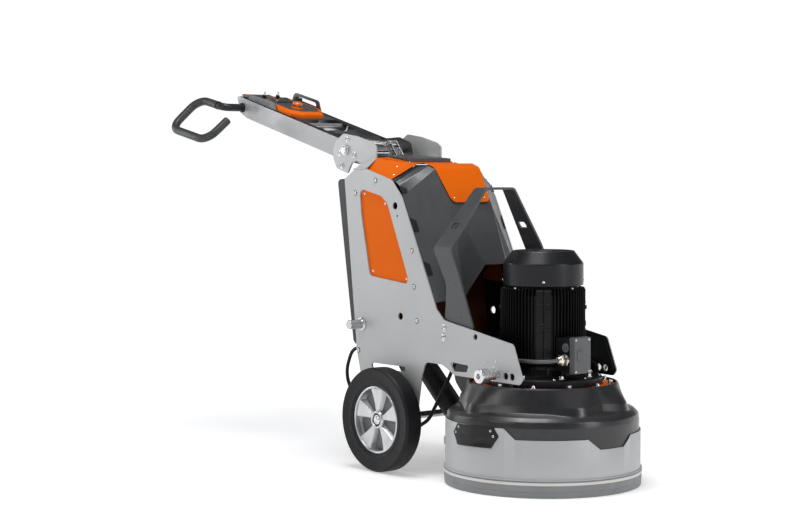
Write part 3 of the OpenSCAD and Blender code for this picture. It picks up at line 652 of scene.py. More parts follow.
# ------------------------------------------------------------------ motor
def make_motor():
    bm = bmesh.new()
    turned(bm, [(120, 330, 1), (242, 330, 2), (242, 338, 2), (120, 338, 0)], 128)
    turned(bm, [(60, 150), (200, 150, 4), (212, 170, 4), (212, 330), (60, 330)], 128)
    bevel(bm, 0.8, 2, 40)
    piece("head_plate", bm, "orange_paint", "head", ("base_plate",))
    # the orange plate's ears are made black: painted shade
    bm = bmesh.new()
    for s in SIDES:
        pts = rnd([(-30, 338), (-24, 396, 18), (10, 408, 22), (50, 396, 18), (70, 338)], 6)
        prism(bm, pts, s * 201, s * 211)
    bevel(bm, 0.8, 2, 40)
    piece("head_ears_painted_shade", bm, "black_paint", "head")

    bm = bmesh.new()
    turned(bm, [(60, 338), (200, 338, 2), (200, 362, 3), (196, 367, 3), (150, 367, 2), (142, 371, 3),
            (134, 371, 4), (123, 392, 8), (122, 404, 1), (60, 404)], 160, steps=4)
    for i in range(16):
        a = i * 22.5 + 8
        box(bm, (121, -3, 372), (134, 3, 402), rot("Z", a))
    piece("motor_bell", bm, "motor_black", "head", ("motor_flange",))

    bm = bmesh.new()
    turned(bm, [(14.1, 404), (126, 404, 2), (129, 412, 3), (129, 640, 6), (121, 664, 4), (119, 671, 1),
            (14.1, 671)], 128, steps=4)
    for i in range(72):
        a = i * 5.0 + 1.3
        if min(abs((a - p + 180) % 360 - 180) for p in PADS) < 11.5:
            continue
        m = rot("Z", a)
        start = len(bm.verts)
        outer = [(126, 406), (141, 408), (142.6, 412), (142.6, 655), (141, 661), (126, 665)]
        a0 = [bm.verts.new((r, -1.9 + (r - 126) * 0.055, z)) for r, z in outer]
        b0 = [bm.verts.new((r, 1.9 - (r - 126) * 0.055, z)) for r, z in outer]
        bm.faces.new(a0)
        bm.faces.new(b0[::-1])
        ring_faces(bm, a0, b0)
        move(bm, start, m)
    for p in PADS:
        m = rot("Z", p)
        for y0, y1 in ((-25, -1.2), (1.2, 25)):
            prism(bm, rnd([(124, 408), (138, 410, 3), (141.5, 420, 3), (141.5, 656, 3), (126, 665, 2)], 3),
                    y0, y1, m)
        for z in (470, 520, 610):
            box(bm, (141, -24, z), (143, 24, z + 2.2), m)
        box(bm, (141, -20, 543), (144, 4, 549), m)
        box(bm, (141, -2, 533), (144, 22, 539), m)
        turned(bm, [(0.3, 0), (7, 0), (7, 6, 1), (4, 6), (4, 3), (0.3, 3)], 20,
                m @ aim(Vector((140.5, 17, 594)), (1, 0, 0)), steps=2)
        turned(bm, [(0.3, 0), (7, 0), (7, 6, 1), (4, 6), (4, 3), (0.3, 3)], 20,
                m @ aim(Vector((140.5, 17, 452)), (1, 0, 0)), steps=2)
    bevel(bm, 0.6, 1, 50)
    piece("motor_finned_body", bm, "motor_black", "head", ("motor_body",), smooth=32,
            weighted=False)

    bm = bmesh.new()
    turned(bm, [(132.6, 671), (135.5, 671, 0.8), (135.5, 744, 7), (106, 783, 3), (103, 786, 2),
            (97, 786, 1.5), (96, 783, 1), (101, 781, 1), (132.6, 742, 5)], 180, steps=5)
    turned(bm, [(0.4, 780), (26, 780, 1), (26, 785.5, 2), (0.4, 786)], 48)
    for r in (34, 43, 52, 61, 70, 79, 88):
        lathe(bm, [(r + 1.5 * cosd(a), 782.5 + 1.5 * sind(a)) for a in range(0, 360, 45)], 96, closed=True)
    for i in range(8):
        box(bm, (22, -2, 780.5), (98, 2, 783.5), rot("Z", i * 45 + 10))
    piece("motor_fan_cowl", bm, "cowl_black", "head", ("fan_cowl",), smooth=40)

    bm = bmesh.new()
    for p in PADS:
        m = Vector((cosd(p), sind(p), 0))
        bolt(bm, m * 135.4 + Vector((0, 0, 686)), m, 4.6, 2.6, "button", False)
    for a in (-87.7, 1.3, 90, 180):
        m = Vector((cosd(a), sind(a), 0))
        bolt(bm, m * 131 + Vector((0, 0, 663)), m, 4.2, 6, "hex", False)
    for i in range(12):
        a = rad(i * 30 + 8)
        bolt(bm, (228 * math.cos(a), 228 * math.sin(a), HEAD_TOP), (0, 0, 1), 8.0, 14,
                "hex" if i % 2 else "button", True)
    for i in range(8):
        a = rad(i * 45 + 22)
        bolt(bm, (168 * math.cos(a), 168 * math.sin(a), 367), (0, 0, 1), 8.5, 9, "hex", True)
    for i in range(10):
        a = rad(i * 36 + 3)
        bolt(bm, (190 * math.cos(a), 190 * math.sin(a), 367), (0, 0, 1), 4.6, 3.6, "button", False)
    piece("head_bolts", bm, "zinc_steel", "head", ("head_fasteners",))


def make_terminal_box():
    bm = bmesh.new()
    box(bm, (138, -74, 396), (206, -8, 504))
    bevel(bm, 2.5, 3)
    box(bm, (150, -40, 504), (190, -30, 508))
    piece("terminal_housing", bm, "motor_black", "head", ("terminal_box",))
    bm = bmesh.new()
    box(bm, (206.4, -79, 390), (215, -3, 510))
    box(bm, (215.6, -78, 391), (228, -4, 509))
    bevel(bm, 3.0, 3)
    box(bm, (227.5, -66, 436), (229.6, -46, 464))
    box(bm, (227.5, -66, 430), (229.2, -46, 433))
    box(bm, (227.5, -66, 467), (229.2, -46, 470))
    piece("terminal_lid", bm, "grey_plastic", "head")
    bm = bmesh.new()
    for y in (-71, -11):
        for z in (398, 502):
            bolt(bm, (227.5, y, z), (1, 0, 0), 4.6, 3, "button", False)
    bolt(bm, (200, -44, 393.5), (0, 0, -1), 6, 4, "hex", True)
    piece("terminal_screws", bm, "brass_steel", "head")
    bm = bmesh.new()
    mt = aim(Vector((184, -74, 474)), (0, -1, 0))
    turned(bm, [(0.4, 0), (15, 0), (15, 4, 1.5), (12, 5, 1), (11, 4, 0.6), (0.4, 4)], 40, mt)
    box(bm, (-8, -1.4, 3.6), (8, 1.4, 5.4), mt)
    piece("terminal_blank_plug", bm, "grey_plastic", "head")
    bm = bmesh.new()
    mt = aim(Vector((188, -74, 435)), (0, -1, 0))

    def nut(r, z0, z1):
        start = len(bm.verts)
        rings = [[bm.verts.new((q * cosd(60 * i), q * sind(60 * i), z)) for i in range(6)] for q,
                z in ((r * 0.94, z0), (r, z0 + 1.2), (r, z1 - 1.2), (r * 0.94, z1))]
        skin(bm, rings, caps=(True, True))
        move(bm, start, mt)

    turned(bm, [(9, 0), (15, 0), (15, 30, 1), (14, 33, 1), (10, 42, 2), (6.6, 43, 1), (6.6, 0)], 40, mt)
    nut(21, 3, 11)
    nut(19.5, 17, 30)
    piece("cable_gland", bm, "brass_steel", "head")
    bm = bmesh.new()
    path = resample(bent([(188, -112, 435, 0), (188, -180, 434, 50), (60, -182, 430, 60),
            (-120, -176, 424, 60), (-230, -150, 428, 50), (-276, -120, 436, 0)], 8), 6)
    tube(bm, path, 6.5, 16)
    ob = piece("motor_supply_cable", bm, "grey_plastic", "head", ("motor_cable",),
            weighted=False)
    ob.parent = None
    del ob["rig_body"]
    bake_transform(ob)


# ------------------------------------------------------------------ wheels
def make_wheels():
    for s in SIDES:
        tag = TAG[s]
        m = Matrix.Translation((WHEEL_X, s * WHEEL_Y, WHEEL_R)) @ rot("X", -90 * s)
        bm = bmesh.new()
        half = [(118.2, 0), (118.2, 24), (120, 28), (128, 29), (130, 31.2), (133, 31.2), (135, 29.8),
                (150, 31), (168, 33.6), (173, 34.6), (176.2, 34.4), (178.6, 32), (181.2, 28.5),
                (182.6, 25.5), (183, 20), (183, 0)]
        prof = half + [(r, -z) for r, z in reversed(half[1:-1])]
        lathe(bm, rnd([(r, z, 1.6) for r, z in prof], 2), 180, m, closed=True)
        piece("tyre_body_" + tag, bm, "tyre_rubber", "wheel_" + tag, ("tyre_" + tag,), smooth=50,
                weighted=False)

        bm = bmesh.new()
        turned(bm, [(104, -24), (117, -24), (118, -20), (118, 20), (118, 26, 1), (114, 28, 1.5),
                (110.5, 26, 1.5), (108, 10, 4), (104, 0, 4)], 120, m)
        turned(bm, [(12.55, -22), (30, -22, 2), (33, 0, 4), (33, 16, 4), (29.5, 23, 2.5), (24, 23, 1.5),
                (22, 19, 1), (22, 17), (12.55, 17)], 72, m, steps=4)
        for k in range(5):
            mk = m @ rot("Z", 90 + 72 * k)
            start = len(bm.verts)
            rows = []
            for i in range(9):
                t = i / 8
                r = 27 + 81 * t
                w = 5.5 + 26.5 * t
                zf = 19 - 6 * math.sin(math.pi * t) * 0.6 + 2 * t
                foot = w + 6 + 2 * t
                rows.append([bm.verts.new(v) for v in ((r, -foot, 0.5), (r, -w - 0.6, zf - 2.4),
                        (r, -w + 0.8, zf), (r, 0, zf + 0.6), (r, w - 0.8, zf), (r, w + 0.6, zf - 2.4),
                        (r, foot, 0.5))])
            for a, b in zip(rows, rows[1:]):
                for j in range(6):
                    bm.faces.new((a[j], a[j + 1], b[j + 1], b[j]))
            move(bm, start, mk)
        piece("rim_body_" + tag, bm, "cast_aluminium", "wheel_" + tag, ("rim_" + tag,), smooth=45,
                weighted=False)
        # recessed web between the spokes, coloured darker than the spokes: painted shade
        bm = bmesh.new()
        turned(bm, [(30, -2), (106, -4), (106, 1), (31, 3)], 96, m, steps=2)
        piece("rim_web_" + tag, bm, "cast_aluminium_painted_shade", "wheel_" + tag, smooth=45)
        bm = bmesh.new()
        turned(bm, [(13, 16.5), (21.8, 16.5), (21.8, 18.6, 0.6), (19, 18.9, 0.5), (17.5, 17.8, 0.5),
                (13, 17.8)], 64, m, steps=2)
        piece("bearing_seal_" + tag, bm, "black_plastic", "wheel_" + tag)
    bm = bmesh.new()
    m = Matrix.Translation((WHEEL_X, 0, WHEEL_R)) @ rot("X", 90)
    turned(bm, [(0.3, -311), (7, -311, 1), (10, -308, 1), (12.5, -306, 0.6), (12.5, -250, 0),
            (20, -250, 1), (20, -223.6, 0), (12.5, -223.6), (12.5, 223.6), (20, 223.6), (20, 250, 1),
            (12.5, 250), (12.5, 306, 0.6), (10, 308, 1), (7, 311, 1), (0.3, 311)], 48, m)
    for s in SIDES:
        turned(bm, [(12.4, s * 303), (16.6, s * 303), (16.6, s * 305, 0.5), (12.4, s * 305)], 40, m,
                steps=2)
    piece("axle_shaft", bm, "zinc_steel", "chassis", ("wheel_axle",))


# ------------------------------------------------------------------ chassis sheets
def loft(bm, rows):
    """Quads between rows of points of equal length."""
    vs = [[bm.verts.new(p) for p in r] for r in rows]
    for a, b in zip(vs, vs[1:]):
        for i in range(len(a) - 1):
            bm.faces.new((a[i], a[i + 1], b[i + 1], b[i]))


def thicken(bm, t, outward):
    """Gives an open sheet thickness t on the side away from outward."""
    bmesh.ops.remove_doubles(bm, verts=bm.verts, dist=0.02)
    bmesh.ops.recalc_face_normals(bm, faces=bm.faces)
    n = sum((f.normal * f.calc_area() for f in bm.faces), Vector())
    if n.dot(Vector(outward)) < 0:
        bmesh.ops.reverse_faces(bm, faces=bm.faces[:])
    bm.normal_update()
    faces = bm.faces[:]
    rim = [e for e in bm.edges if len(e.link_faces) == 1]
    twin = {v: bm.verts.new(v.co - v.normal * t) for v in bm.verts[:]}
    for f in faces:
        bm.faces.new([twin[v] for v in reversed(f.verts)])
    for e in rim:
        a, b = e.verts
        bm.faces.new((b, a, twin[a], twin[b]))


def lerp_row(a, b, n):
    return [a.lerp(b, i / n) for i in range(n + 1)]


def make_covers():
    bm = bmesh.new()
    for s in SIDES:
        y = 216.6
        outer = bent([(-302, s * y, 602, 0), (-388, s * y, 775, 0), (-478, s * y, 964, 0),
                (-500, s * y, 1003, 14), (-526, s * y, 1019, 20), (-575, s * y, 1014, 0)], 6)
        inner = bent([(-362, s * 94, 936, 0), (-370, s * 95.3, 949, 0), (-437, s * 106, 1058, 0),
                (-470, s * 108, 1070, 22), (-513, s * 112, 1067, 20), (-575, s * 112, 1064, 0)], 6)
        rows = [lerp_row(a, b, 6) for a, b in zip(outer, inner)]
        loft(bm, rows)
        c, f, e, d = (Vector(v) for v in ((-362, s * 94, 936), (-302, s * y, 602), (-262, s * 120, 620),
                (-234, s * 50, 730)))
        # lower facets share the crease that runs from the top corner to the foot
        loft(bm, [lerp_row(f, c, 8), lerp_row(e, c, 8)])
        loft(bm, [lerp_row(e, c, 8), lerp_row(d, c, 8)])
    rows = [lerp_row(Vector((x, -w, z)), Vector((x, w, z)), 4) for x, w,
            z in ((-234, 50, 730), (-362, 94, 936), (-437, 104, 1055), (-452, 104, 1057),
            (-513, 104, 1058))]
    loft(bm, rows)
    bmesh.ops.remove_doubles(bm, verts=bm.verts, dist=0.05)
    bevel(bm, 5.0, 3, 7)
    thicken(bm, 2.4, (1, 0, 0.5))
    piece("front_cover_sheet", bm, "graphite_paint", "chassis", ("front_cover",), smooth=40)

    bm = bmesh.new()
    line = bent([(-700, 0, 1098, 0), (-552, 0, 1077, 40), (-478, 0, 1078, 0), (-437, 0, 1064, 34),
            (-376, 0, 968, 0), (-359.5, 0, 943, 0)], 8)

    def width(p):
        if p.x < -552:
            return 150 + (p.x + 700) / 148 * -38
        if p.x < -437:
            return 112 + (p.x + 552) / 115 * -6
        if p.x < -376:
            return 106 + (p.x + 437) / 61 * -14
        k = min(1, (p.x + 376) / 16.5)
        return 92 - 24 * (1 - math.sqrt(max(0, 1 - k * k)))

    fine = []
    for a, b in zip(line, line[1:]):
        m = 10 if a.x >= -376.5 else 3
        fine += [a.lerp(b, i / m) for i in range(m)]
    fine.append(line[-1])
    loft(bm, [lerp_row(Vector((p.x, -width(p), p.z)), Vector((p.x, width(p), p.z)), 6) for p in fine])
    for s in SIDES:
        up = [Vector((p.x, s * width(p), p.z)) for p in fine if p.x <= -518]
        lowr = []
        for p in up:
            k = (p.x + 700) / (up[-1].x + 700)
            lowr.append(Vector((-702 + 156 * k, s * 216.4, 1052 - 33 * k)))
        rows = []
        for a, b in zip(up, lowr):
            rows.append(lerp_row(a, b, 6))
        loft(bm, rows)
    bmesh.ops.remove_doubles(bm, verts=bm.verts, dist=0.05)
    bevel(bm, 5.0, 3, 10)
    thicken(bm, 2.2, (0, 0, 1))
    piece("hood_sheet", bm, "orange_paint", "chassis", ("top_cover",), smooth=40)

    # black former and edge seal that close the hood behind the cover
    bm = bmesh.new()
    half = [(0, 1072.6), (108, 1072.6), (115, 1068.5), (212, 1020), (214, 1012), (214, 930), (0, 930)]
    pts = half + [(-y, z) for y, z in half[-2:0:-1]]
    turn = Matrix.Translation((-534, 0, 0)) @ rot("Z", 90)
    prism(bm, pts, -1.5, 1.5, turn)
    for s in SIDES:
        edge = [Vector((-519.5, s * (113 + 102 * k),
                1071.6 - 54 * k)) for k in (i / 12 for i in range(13))]
        tube(bm, edge, 2.4, 8)
    piece("hood_former", bm, "black_plastic", "chassis")


def make_chassis():
    for s in SIDES:
        t = TAG[s]
        refine("side_plate_" + t, "plate_two_tone", 0.9)
        refine("inner_plate_" + t, "black_paint", 0.6)
        refine("window_panel_" + t, "window_orange", 0.3)
    refine("top_lid", "graphite_paint", 2.5, segs=3)
    # the bulkhead takes a dark brown in place of its orange: painted shade
    refine("bulkhead", "bulkhead_orange_painted_shade", 0.6)
    refine("cabinet_floor", "black_paint", 0.8)
    refine("frequency_drive", "black_plastic", 1.0)
    refine("edge_clips", "black_plastic", 0.8)
    refine("hinge_brackets", "plate_grey", 0.8, angle=40)
    refine("rear_door", "door_black", 2.5, segs=3, angle=60)
    refine("door_latch", "black_plastic", 2.0, segs=3)

    bm = bmesh.new()
    for s in SIDES:
        for x, z in ((-737, 972), (-622, 1018), (-423, 776), (-412, 651), (-396, 533), (-719, 407)):
            bolt(bm, (x, s * YO, z), (0, s, 0), 7.4, 4.6, "button", False)
        for x, z in ((-45, 418.7), (4.5, 421.9)):
            bolt(bm, (x, s * YO, z), (0, s, 0), 5.0, 3.0, "button", False)
        for x, z in ((-254, 519), (-257, 486)):
            bolt(bm, (x, s * YO, z), (0, s, 0), 9.5, 6.5, "button", True)
        for x, z in ((-691, 970), (-574, 937), (-642, 696), (-457, 676)):
            bolt(bm, (x, s * YI, z), (0, s, 0), 4.6, 2.4, "rivet", False)
        for x, z in ((-867, 1167), (-911, 1116), (-826, 1110), (-899, 1070)):
            bolt(bm, (x, s * 157, z), (0, s, 0), 8.6, 6.5, "button", True)
        for x, y, z in ((-640, 150, 1078), (-590, 150, 1066), (-560, 190, 1038), (-575, 104, 1080.5),
                (-372, 70, 958)):
            bolt(bm, (x, s * y, z), (0.3, s * 0.3 if y > 110 else 0, 1), 5.0, 3.0, "rivet", False)
    piece("chassis_bolts", bm, "zinc_steel", "chassis", ("chassis_fasteners",))

    # thin black rings under the screw and bolt heads: painted contact shadow
    bm = bmesh.new()
    for s in SIDES:
        for x, z, y, r in ((-737, 972, YO, 9.4), (-622, 1018, YO, 9.4), (-423, 776, YO, 9.4),
                (-412, 651, YO, 9.4), (-396, 533, YO, 9.4), (-719, 407, YO, 9.4), (-254, 519, YO, 13),
                (-257, 486, YO, 13), (-867, 1167, 157, 11.5), (-911, 1116, 157, 11.5),
                (-826, 1110, 157, 11.5), (-899, 1070, 157, 11.5)):
            turned(bm, [(3, 0.02), (r, 0.02), (r, 0.7, 0.3), (3, 0.7)], 32,
                    aim(Vector((x, s * y, z)), (0, s, 0)), steps=2)
    piece("screw_contact_shadow_rings", bm, "black_plastic", "chassis")

    bm = bmesh.new()
    for s in SIDES:
        m = aim(Vector((-699, s * YO, 503)), (0, s, 0))
        turned(bm, [(0.4, 0), (24, 0), (24, 4, 1), (18, 6, 3), (16, 9, 2), (16, 60, 1.5), (14.5, 62, 1),
                (0.4, 62)], 48, m, steps=4)
    piece("cable_hook_posts", bm, "cast_aluminium", "chassis", ("cable_posts",))

    bm = bmesh.new()
    m = Matrix.Translation((PIVOT[0], 0, PIVOT[1])) @ rot("X", 90)
    turned(bm, [(0.3, -171), (12, -171, 1), (15, -169, 2), (15, -163, 0.5), (19, -163, 0.8), (19, -157.2),
            (11, -157.2), (11, -151), (18, -151, 1), (18, -117.6, 1), (11, -117.6), (11, 117.6),
            (18, 117.6, 1), (18, 151, 1), (11, 151), (11, 157.2), (19, 157.2), (19, 163, 0.8),
            (15, 163, 0.5), (15, 169, 2), (12, 171, 1), (0.3, 171)], 48, m)
    for s in SIDES:
        pts = rnd([(-816, 1146, 10), (-800, 1168, 10), (-784, 1152, 10), (-750, 1108.2), (-790, 1110.9)],
                5)
        prism(bm, pts, s * 13, s * 18)
    turned(bm, [(0.3, -19), (6, -19, 0.6), (6, 19, 0.6), (0.3, 19)], 24,
            Matrix.Translation((-800, 0, 1148)) @ rot("X", 90), steps=2)
    piece("pivot_shaft", bm, "zinc_steel", "chassis", ("handle_pivot",))

    # door seal
    bm = bmesh.new()
    for s in SIDES:
        prism(bm, [(-800, 1006), (-796, 1006), (-734, 450), (-738, 450)], s * 199, s * 205)
    prism(bm, [(-801, 1006), (-797, 1006), (-796, 1000), (-800, 1000)], -200, 200)
    piece("door_seal", bm, "black_plastic", "chassis")


# ------------------------------------------------------------------ lifting bow
def make_bow():
    """A flat pattern with holes, cut across the bends and folded up."""
    up_len = math.hypot(149.5, 204)
    leg, arm, top = 316.0, up_len, 64.0
    half = leg + arm + top

    rear = [(0, -270), (127, -256), (198, -254), (leg, -322), (leg + arm, -277), (half, -277)]
    front = [(0, -132), (60, -118), (230, -190), (leg, -232), (leg + arm, -217), (half, -217)]
    out = [(x, s) for s, x in rear] + [(x, 2 * half - s) for s, x in reversed(rear[:-1])]
    out += [(x, 2 * half - s) for s, x in front[:-1]] + [(x, s) for s, x in reversed(front)]
    radii = {(-270, 0): 14, (-256, 127): 60, (-254, 198): 40, (-322, leg): 30, (-132, 0): 12,
            (-118, 60): 12, (-190, 230): 60, (-232, leg): 30, (-277, leg + arm): 20, (-217, leg + arm): 20}
    pts = []
    for x, q in out:
        r = radii.get((x, q)) or radii.get((x, round(2 * half - q, 6))) or radii.get((x,
                2 * half - q)) or 0
        pts.append((x, q, r))
    loops = [rnd(pts, 6)]
    for sgn in (0, 1):
        hole = [(-292, leg + 80), (-287, leg + 108), (-254, leg + 108), (-256, leg + 80)]
        if sgn:
            hole = [(x, 2 * half - q) for x, q in hole]
        loops.append(rnd([(x, q, 7) for x, q in hole], 5))
    cu = bpy.data.curves.new("bow_pattern", "CURVE")
    cu.dimensions = "2D"
    cu.fill_mode = "BOTH"
    cu.extrude = 3.0
    cu.bevel_depth = 1.0
    cu.bevel_resolution = 2
    cu.offset = -1.0
    for lp in loops:
        sp = cu.splines.new("POLY")
        sp.points.add(len(lp) - 1)
        for p, co in zip(sp.points, lp):
            p.co = (co[0], co[1], 0, 1)
        sp.use_cyclic_u = True
    tmp = bpy.data.objects.new("bow_pattern", cu)
    bpy.context.scene.collection.objects.link(tmp)
    me = tmp.to_mesh()
    bm = bmesh.new()
    bm.from_mesh(me)
    tmp.to_mesh_clear()
    bpy.data.objects.remove(tmp)
    bmesh.ops.remove_doubles(bm, verts=bm.verts, dist=0.01)
    cuts = []
    bend = 10.0
    for c in (leg, leg + arm, 2 * half - leg - arm, 2 * half - leg):
        cuts += [c - bend + 2 * bend * i / 8 for i in range(9)]
    for q in cuts:
        bmesh.ops.bisect_plane(bm, geom=bm.verts[:] + bm.edges[:] + bm.faces[:], dist=1e-4,
                plane_co=(0, q, 0), plane_no=(0, 1, 0))
    # centre line of the folded strip in the YZ plane
    ang = math.atan2(149.5, 204)
    marks = [(0, 90.0), (leg, 90.0 - math.degrees(ang)), (leg + arm, 0.0),
            (2 * half - leg - arm, -(90 - math.degrees(ang))), (2 * half - leg, -90.0)]
    step = 2.0
    line = []
    y, z, q = -209.5, 470.0, 0.0

    def heading(q):
        a = marks[0][1]
        for (q0, _), (_, a0), (_, a1) in zip(marks[1:], marks, marks[1:]):
            t = min(1, max(0, (q - (q0 - bend)) / (2 * bend)))
            a = a0 + (a1 - a0) * t if t < 1 else a1
            if t < 1:
                break
        return rad(a)

    while q <= 2 * half + step:
        line.append((q, y, z, heading(q)))
        h = heading(q + step / 2)
        y += math.cos(h) * step
        z += math.sin(h) * step
        q += step
    for v in bm.verts:
        q = v.co.y
        i = min(len(line) - 2, max(0, int(q / step)))
        f = q / step - i
        (_, y0, z0, h0), (_, y1, z1, h1) = line[i], line[i + 1]
        yy, zz, h = y0 + (y1 - y0) * f, z0 + (z1 - z0) * f, h0 + (h1 - h0) * f
        w = v.co.z
        v.co = Vector((v.co.x, yy + w * -math.sin(h), zz + w * math.cos(h)))
    piece("bow_strip", bm, "graphite_paint", "chassis", ("lifting_bow",), smooth=30)


# ------------------------------------------------------------------ hose and cables
def make_lines():
    bm = bmesh.new()
    path = resample(bent([(-328, 0, 127, 0), (-381, 0, 134, 60), (-610, 0, 345, 120), (-705, 0, 352, 0)],
            10), 1.35)
    L = sum((b - a).length for a, b in zip(path, path[1:]))

    def wave(s):
        if s < 14 or s > L - 24:
            return 40.8
        return 38.9 + 2.0 * max(-0.75, math.sin(2 * math.pi * s / 8.1))

    tube(bm, path, 40, 40, True, wave)
    ob = piece("dust_hose_ribbed", bm, "hose_rubber", "chassis", ("dust_hose",), weighted=False, smooth=60)
    ob.parent = None
    del ob["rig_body"]
    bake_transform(ob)
    bm = bmesh.new()
    m = aim(Vector((-690, 0, 351)), (-1, 0, 0.07))
    turned(bm, [(41.2, -24), (44, -24, 1), (44, 12, 1), (46, 13, 1), (46, 18, 1), (36, 18, 1), (36, -24)],
            64, m)
    piece("hose_cuff", bm, "black_plastic", "chassis")

    bm = bmesh.new()
    path = resample(bent([(-312, -100, 421.3, 0), (-372, -100, 320, 80), (-470, -104, 170, 80),
            (-600, -115, 95, 120), (-800, -135, 140, 140), (-892, -150, 300, 100), (-850, -146, 402, 50),
            (-722, -135, 405, 30), (-716, -130, 444.4, 0)], 8), 7)
    tube(bm, path, 6.5, 16)
    piece("supply_cable_loop", bm, "black_plastic", "chassis", ("cable_loop",), weighted=False)


# ------------------------------------------------------------------ handle
def make_handle():
    # the arms take a darker copy of the plate grey with near-black inner faces: painted shade
    for s in SIDES:
        refine("handle_arm_" + TAG[s], "arm_grey_painted_shade", 1.6, segs=3)
    bm = bmesh.new()
    for x, z, r in ((-352, 1.2, 13.5), (-600, -20, 14)):
        m = Matrix.Translation((x, 0, z)) @ rot("X", 90)
        turned(bm, [(0.3, -112.8), (r + 4, -112.8), (r + 4, -109, 1), (r, -107, 2), (r, 107, 2),
                (r + 4, 109, 1), (r + 4, 112.8), (0.3, 112.8)], 56, m)
    for s in SIDES:
        prism(bm, rnd([(-362, 16, 6), (-416, -32, 10), (-410, -52, 10), (-388, -52, 8), (-340, -6, 8)], 4),
                s * 21, s * 26)
    turned(bm, [(0.3, -27), (6, -27, 1), (6, 27, 1), (0.3, 27)], 24,
            Matrix.Translation((-400, 0, -38)) @ rot("X", 90), steps=2)
    piece("handle_cross_tubes", bm, "cast_aluminium", "handle", ("handle_tubes",), place=MAST)

    bm = bmesh.new()
    bm2 = bmesh.new()
    bm3 = bmesh.new()
    for s in SIDES:
        bar = resample(bent([(-729, 0, -19, 0), (-729, s * 205, -19, 34), (-776, s * 206.6, -21.4, 0)],
                10), 5)
        tube(bm, bar, 15, 28)
        grip = resample(bent([(-770, s * 206.4, -21.1, 0), (-898, s * 210, -27, 52),
                (-884, s * 334, -144, 52), (-634, s * 334, -131, 52), (-640, s * 242, -48, 0)], 12), 4)
        L = sum((b - a).length for a, b in zip(grip, grip[1:]))

        def rr(q):
            e = min(q, L - q)
            return 16 - 2.2 * max(0, 1 - e / 3.0) ** 2
        tube(bm2, grip, 16, 28, True, rr)
        turned(bm3, [(12.1, -3), (16.8, -3, 1), (16.8, 4, 1), (12.1, 4)], 32,
                aim(Vector((-768, s * 206.3, -21)), (-1, 0, -0.05)), steps=2)
        turned(bm3, [(12.1, 0), (19, 0, 1), (19, 5, 1), (15, 7, 1), (12.1, 7)], 32,
                aim(Vector((-729, s * 117.2, -19)), (0, s, 0)), steps=2)
    piece("handlebar_tube", bm, "black_paint", "handle", ("handlebar",), place=MAST, weighted=False)
    piece("handlebar_grips", bm2, "grip_rubber", "handle", ("handle_grips",), place=MAST, weighted=False)
    piece("handlebar_collars", bm3, "black_plastic", "handle", place=MAST)

    # gas spring
    S = Matrix.Translation(((HX - 1273.1355) * MM, 0, 1193.2371 * MM)) @ rot("Y", 5.457) @ Matrix.Scale(MM,
            4)
    X = rot("Y", 90)
    bm = bmesh.new()
    turned(bm, [(6.3, 12), (12, 12, 1), (13, 16, 1), (13, 198, 2), (11.5, 203, 1), (11.5, 212, 1),
            (6.3, 214)], 48, X)
    turned(bm, [(6.1, -11), (13, -11, 1), (13, 11, 1), (6.1, 11)], 40, rot("X", 90), steps=2)
    piece("gas_spring_cylinder", bm, "black_paint", "spring_cylinder", ("spring_cylinder",), place=S)
    bm = bmesh.new()
    turned(bm, [(0.3, 100), (6.2, 100), (6.2, 432), (9, 434, 1), (9, 462, 1), (0.3, 462)], 40, X, steps=2)
    turned(bm, [(9, -10), (15, -10, 1), (15, 10, 1), (9, 10)], 40,
            Matrix.Translation((475.3, 0, 0)) @ rot("X", 90), steps=2)
    piece("gas_spring_rod", bm, "zinc_steel", "spring_rod", ("spring_rod",), place=S)


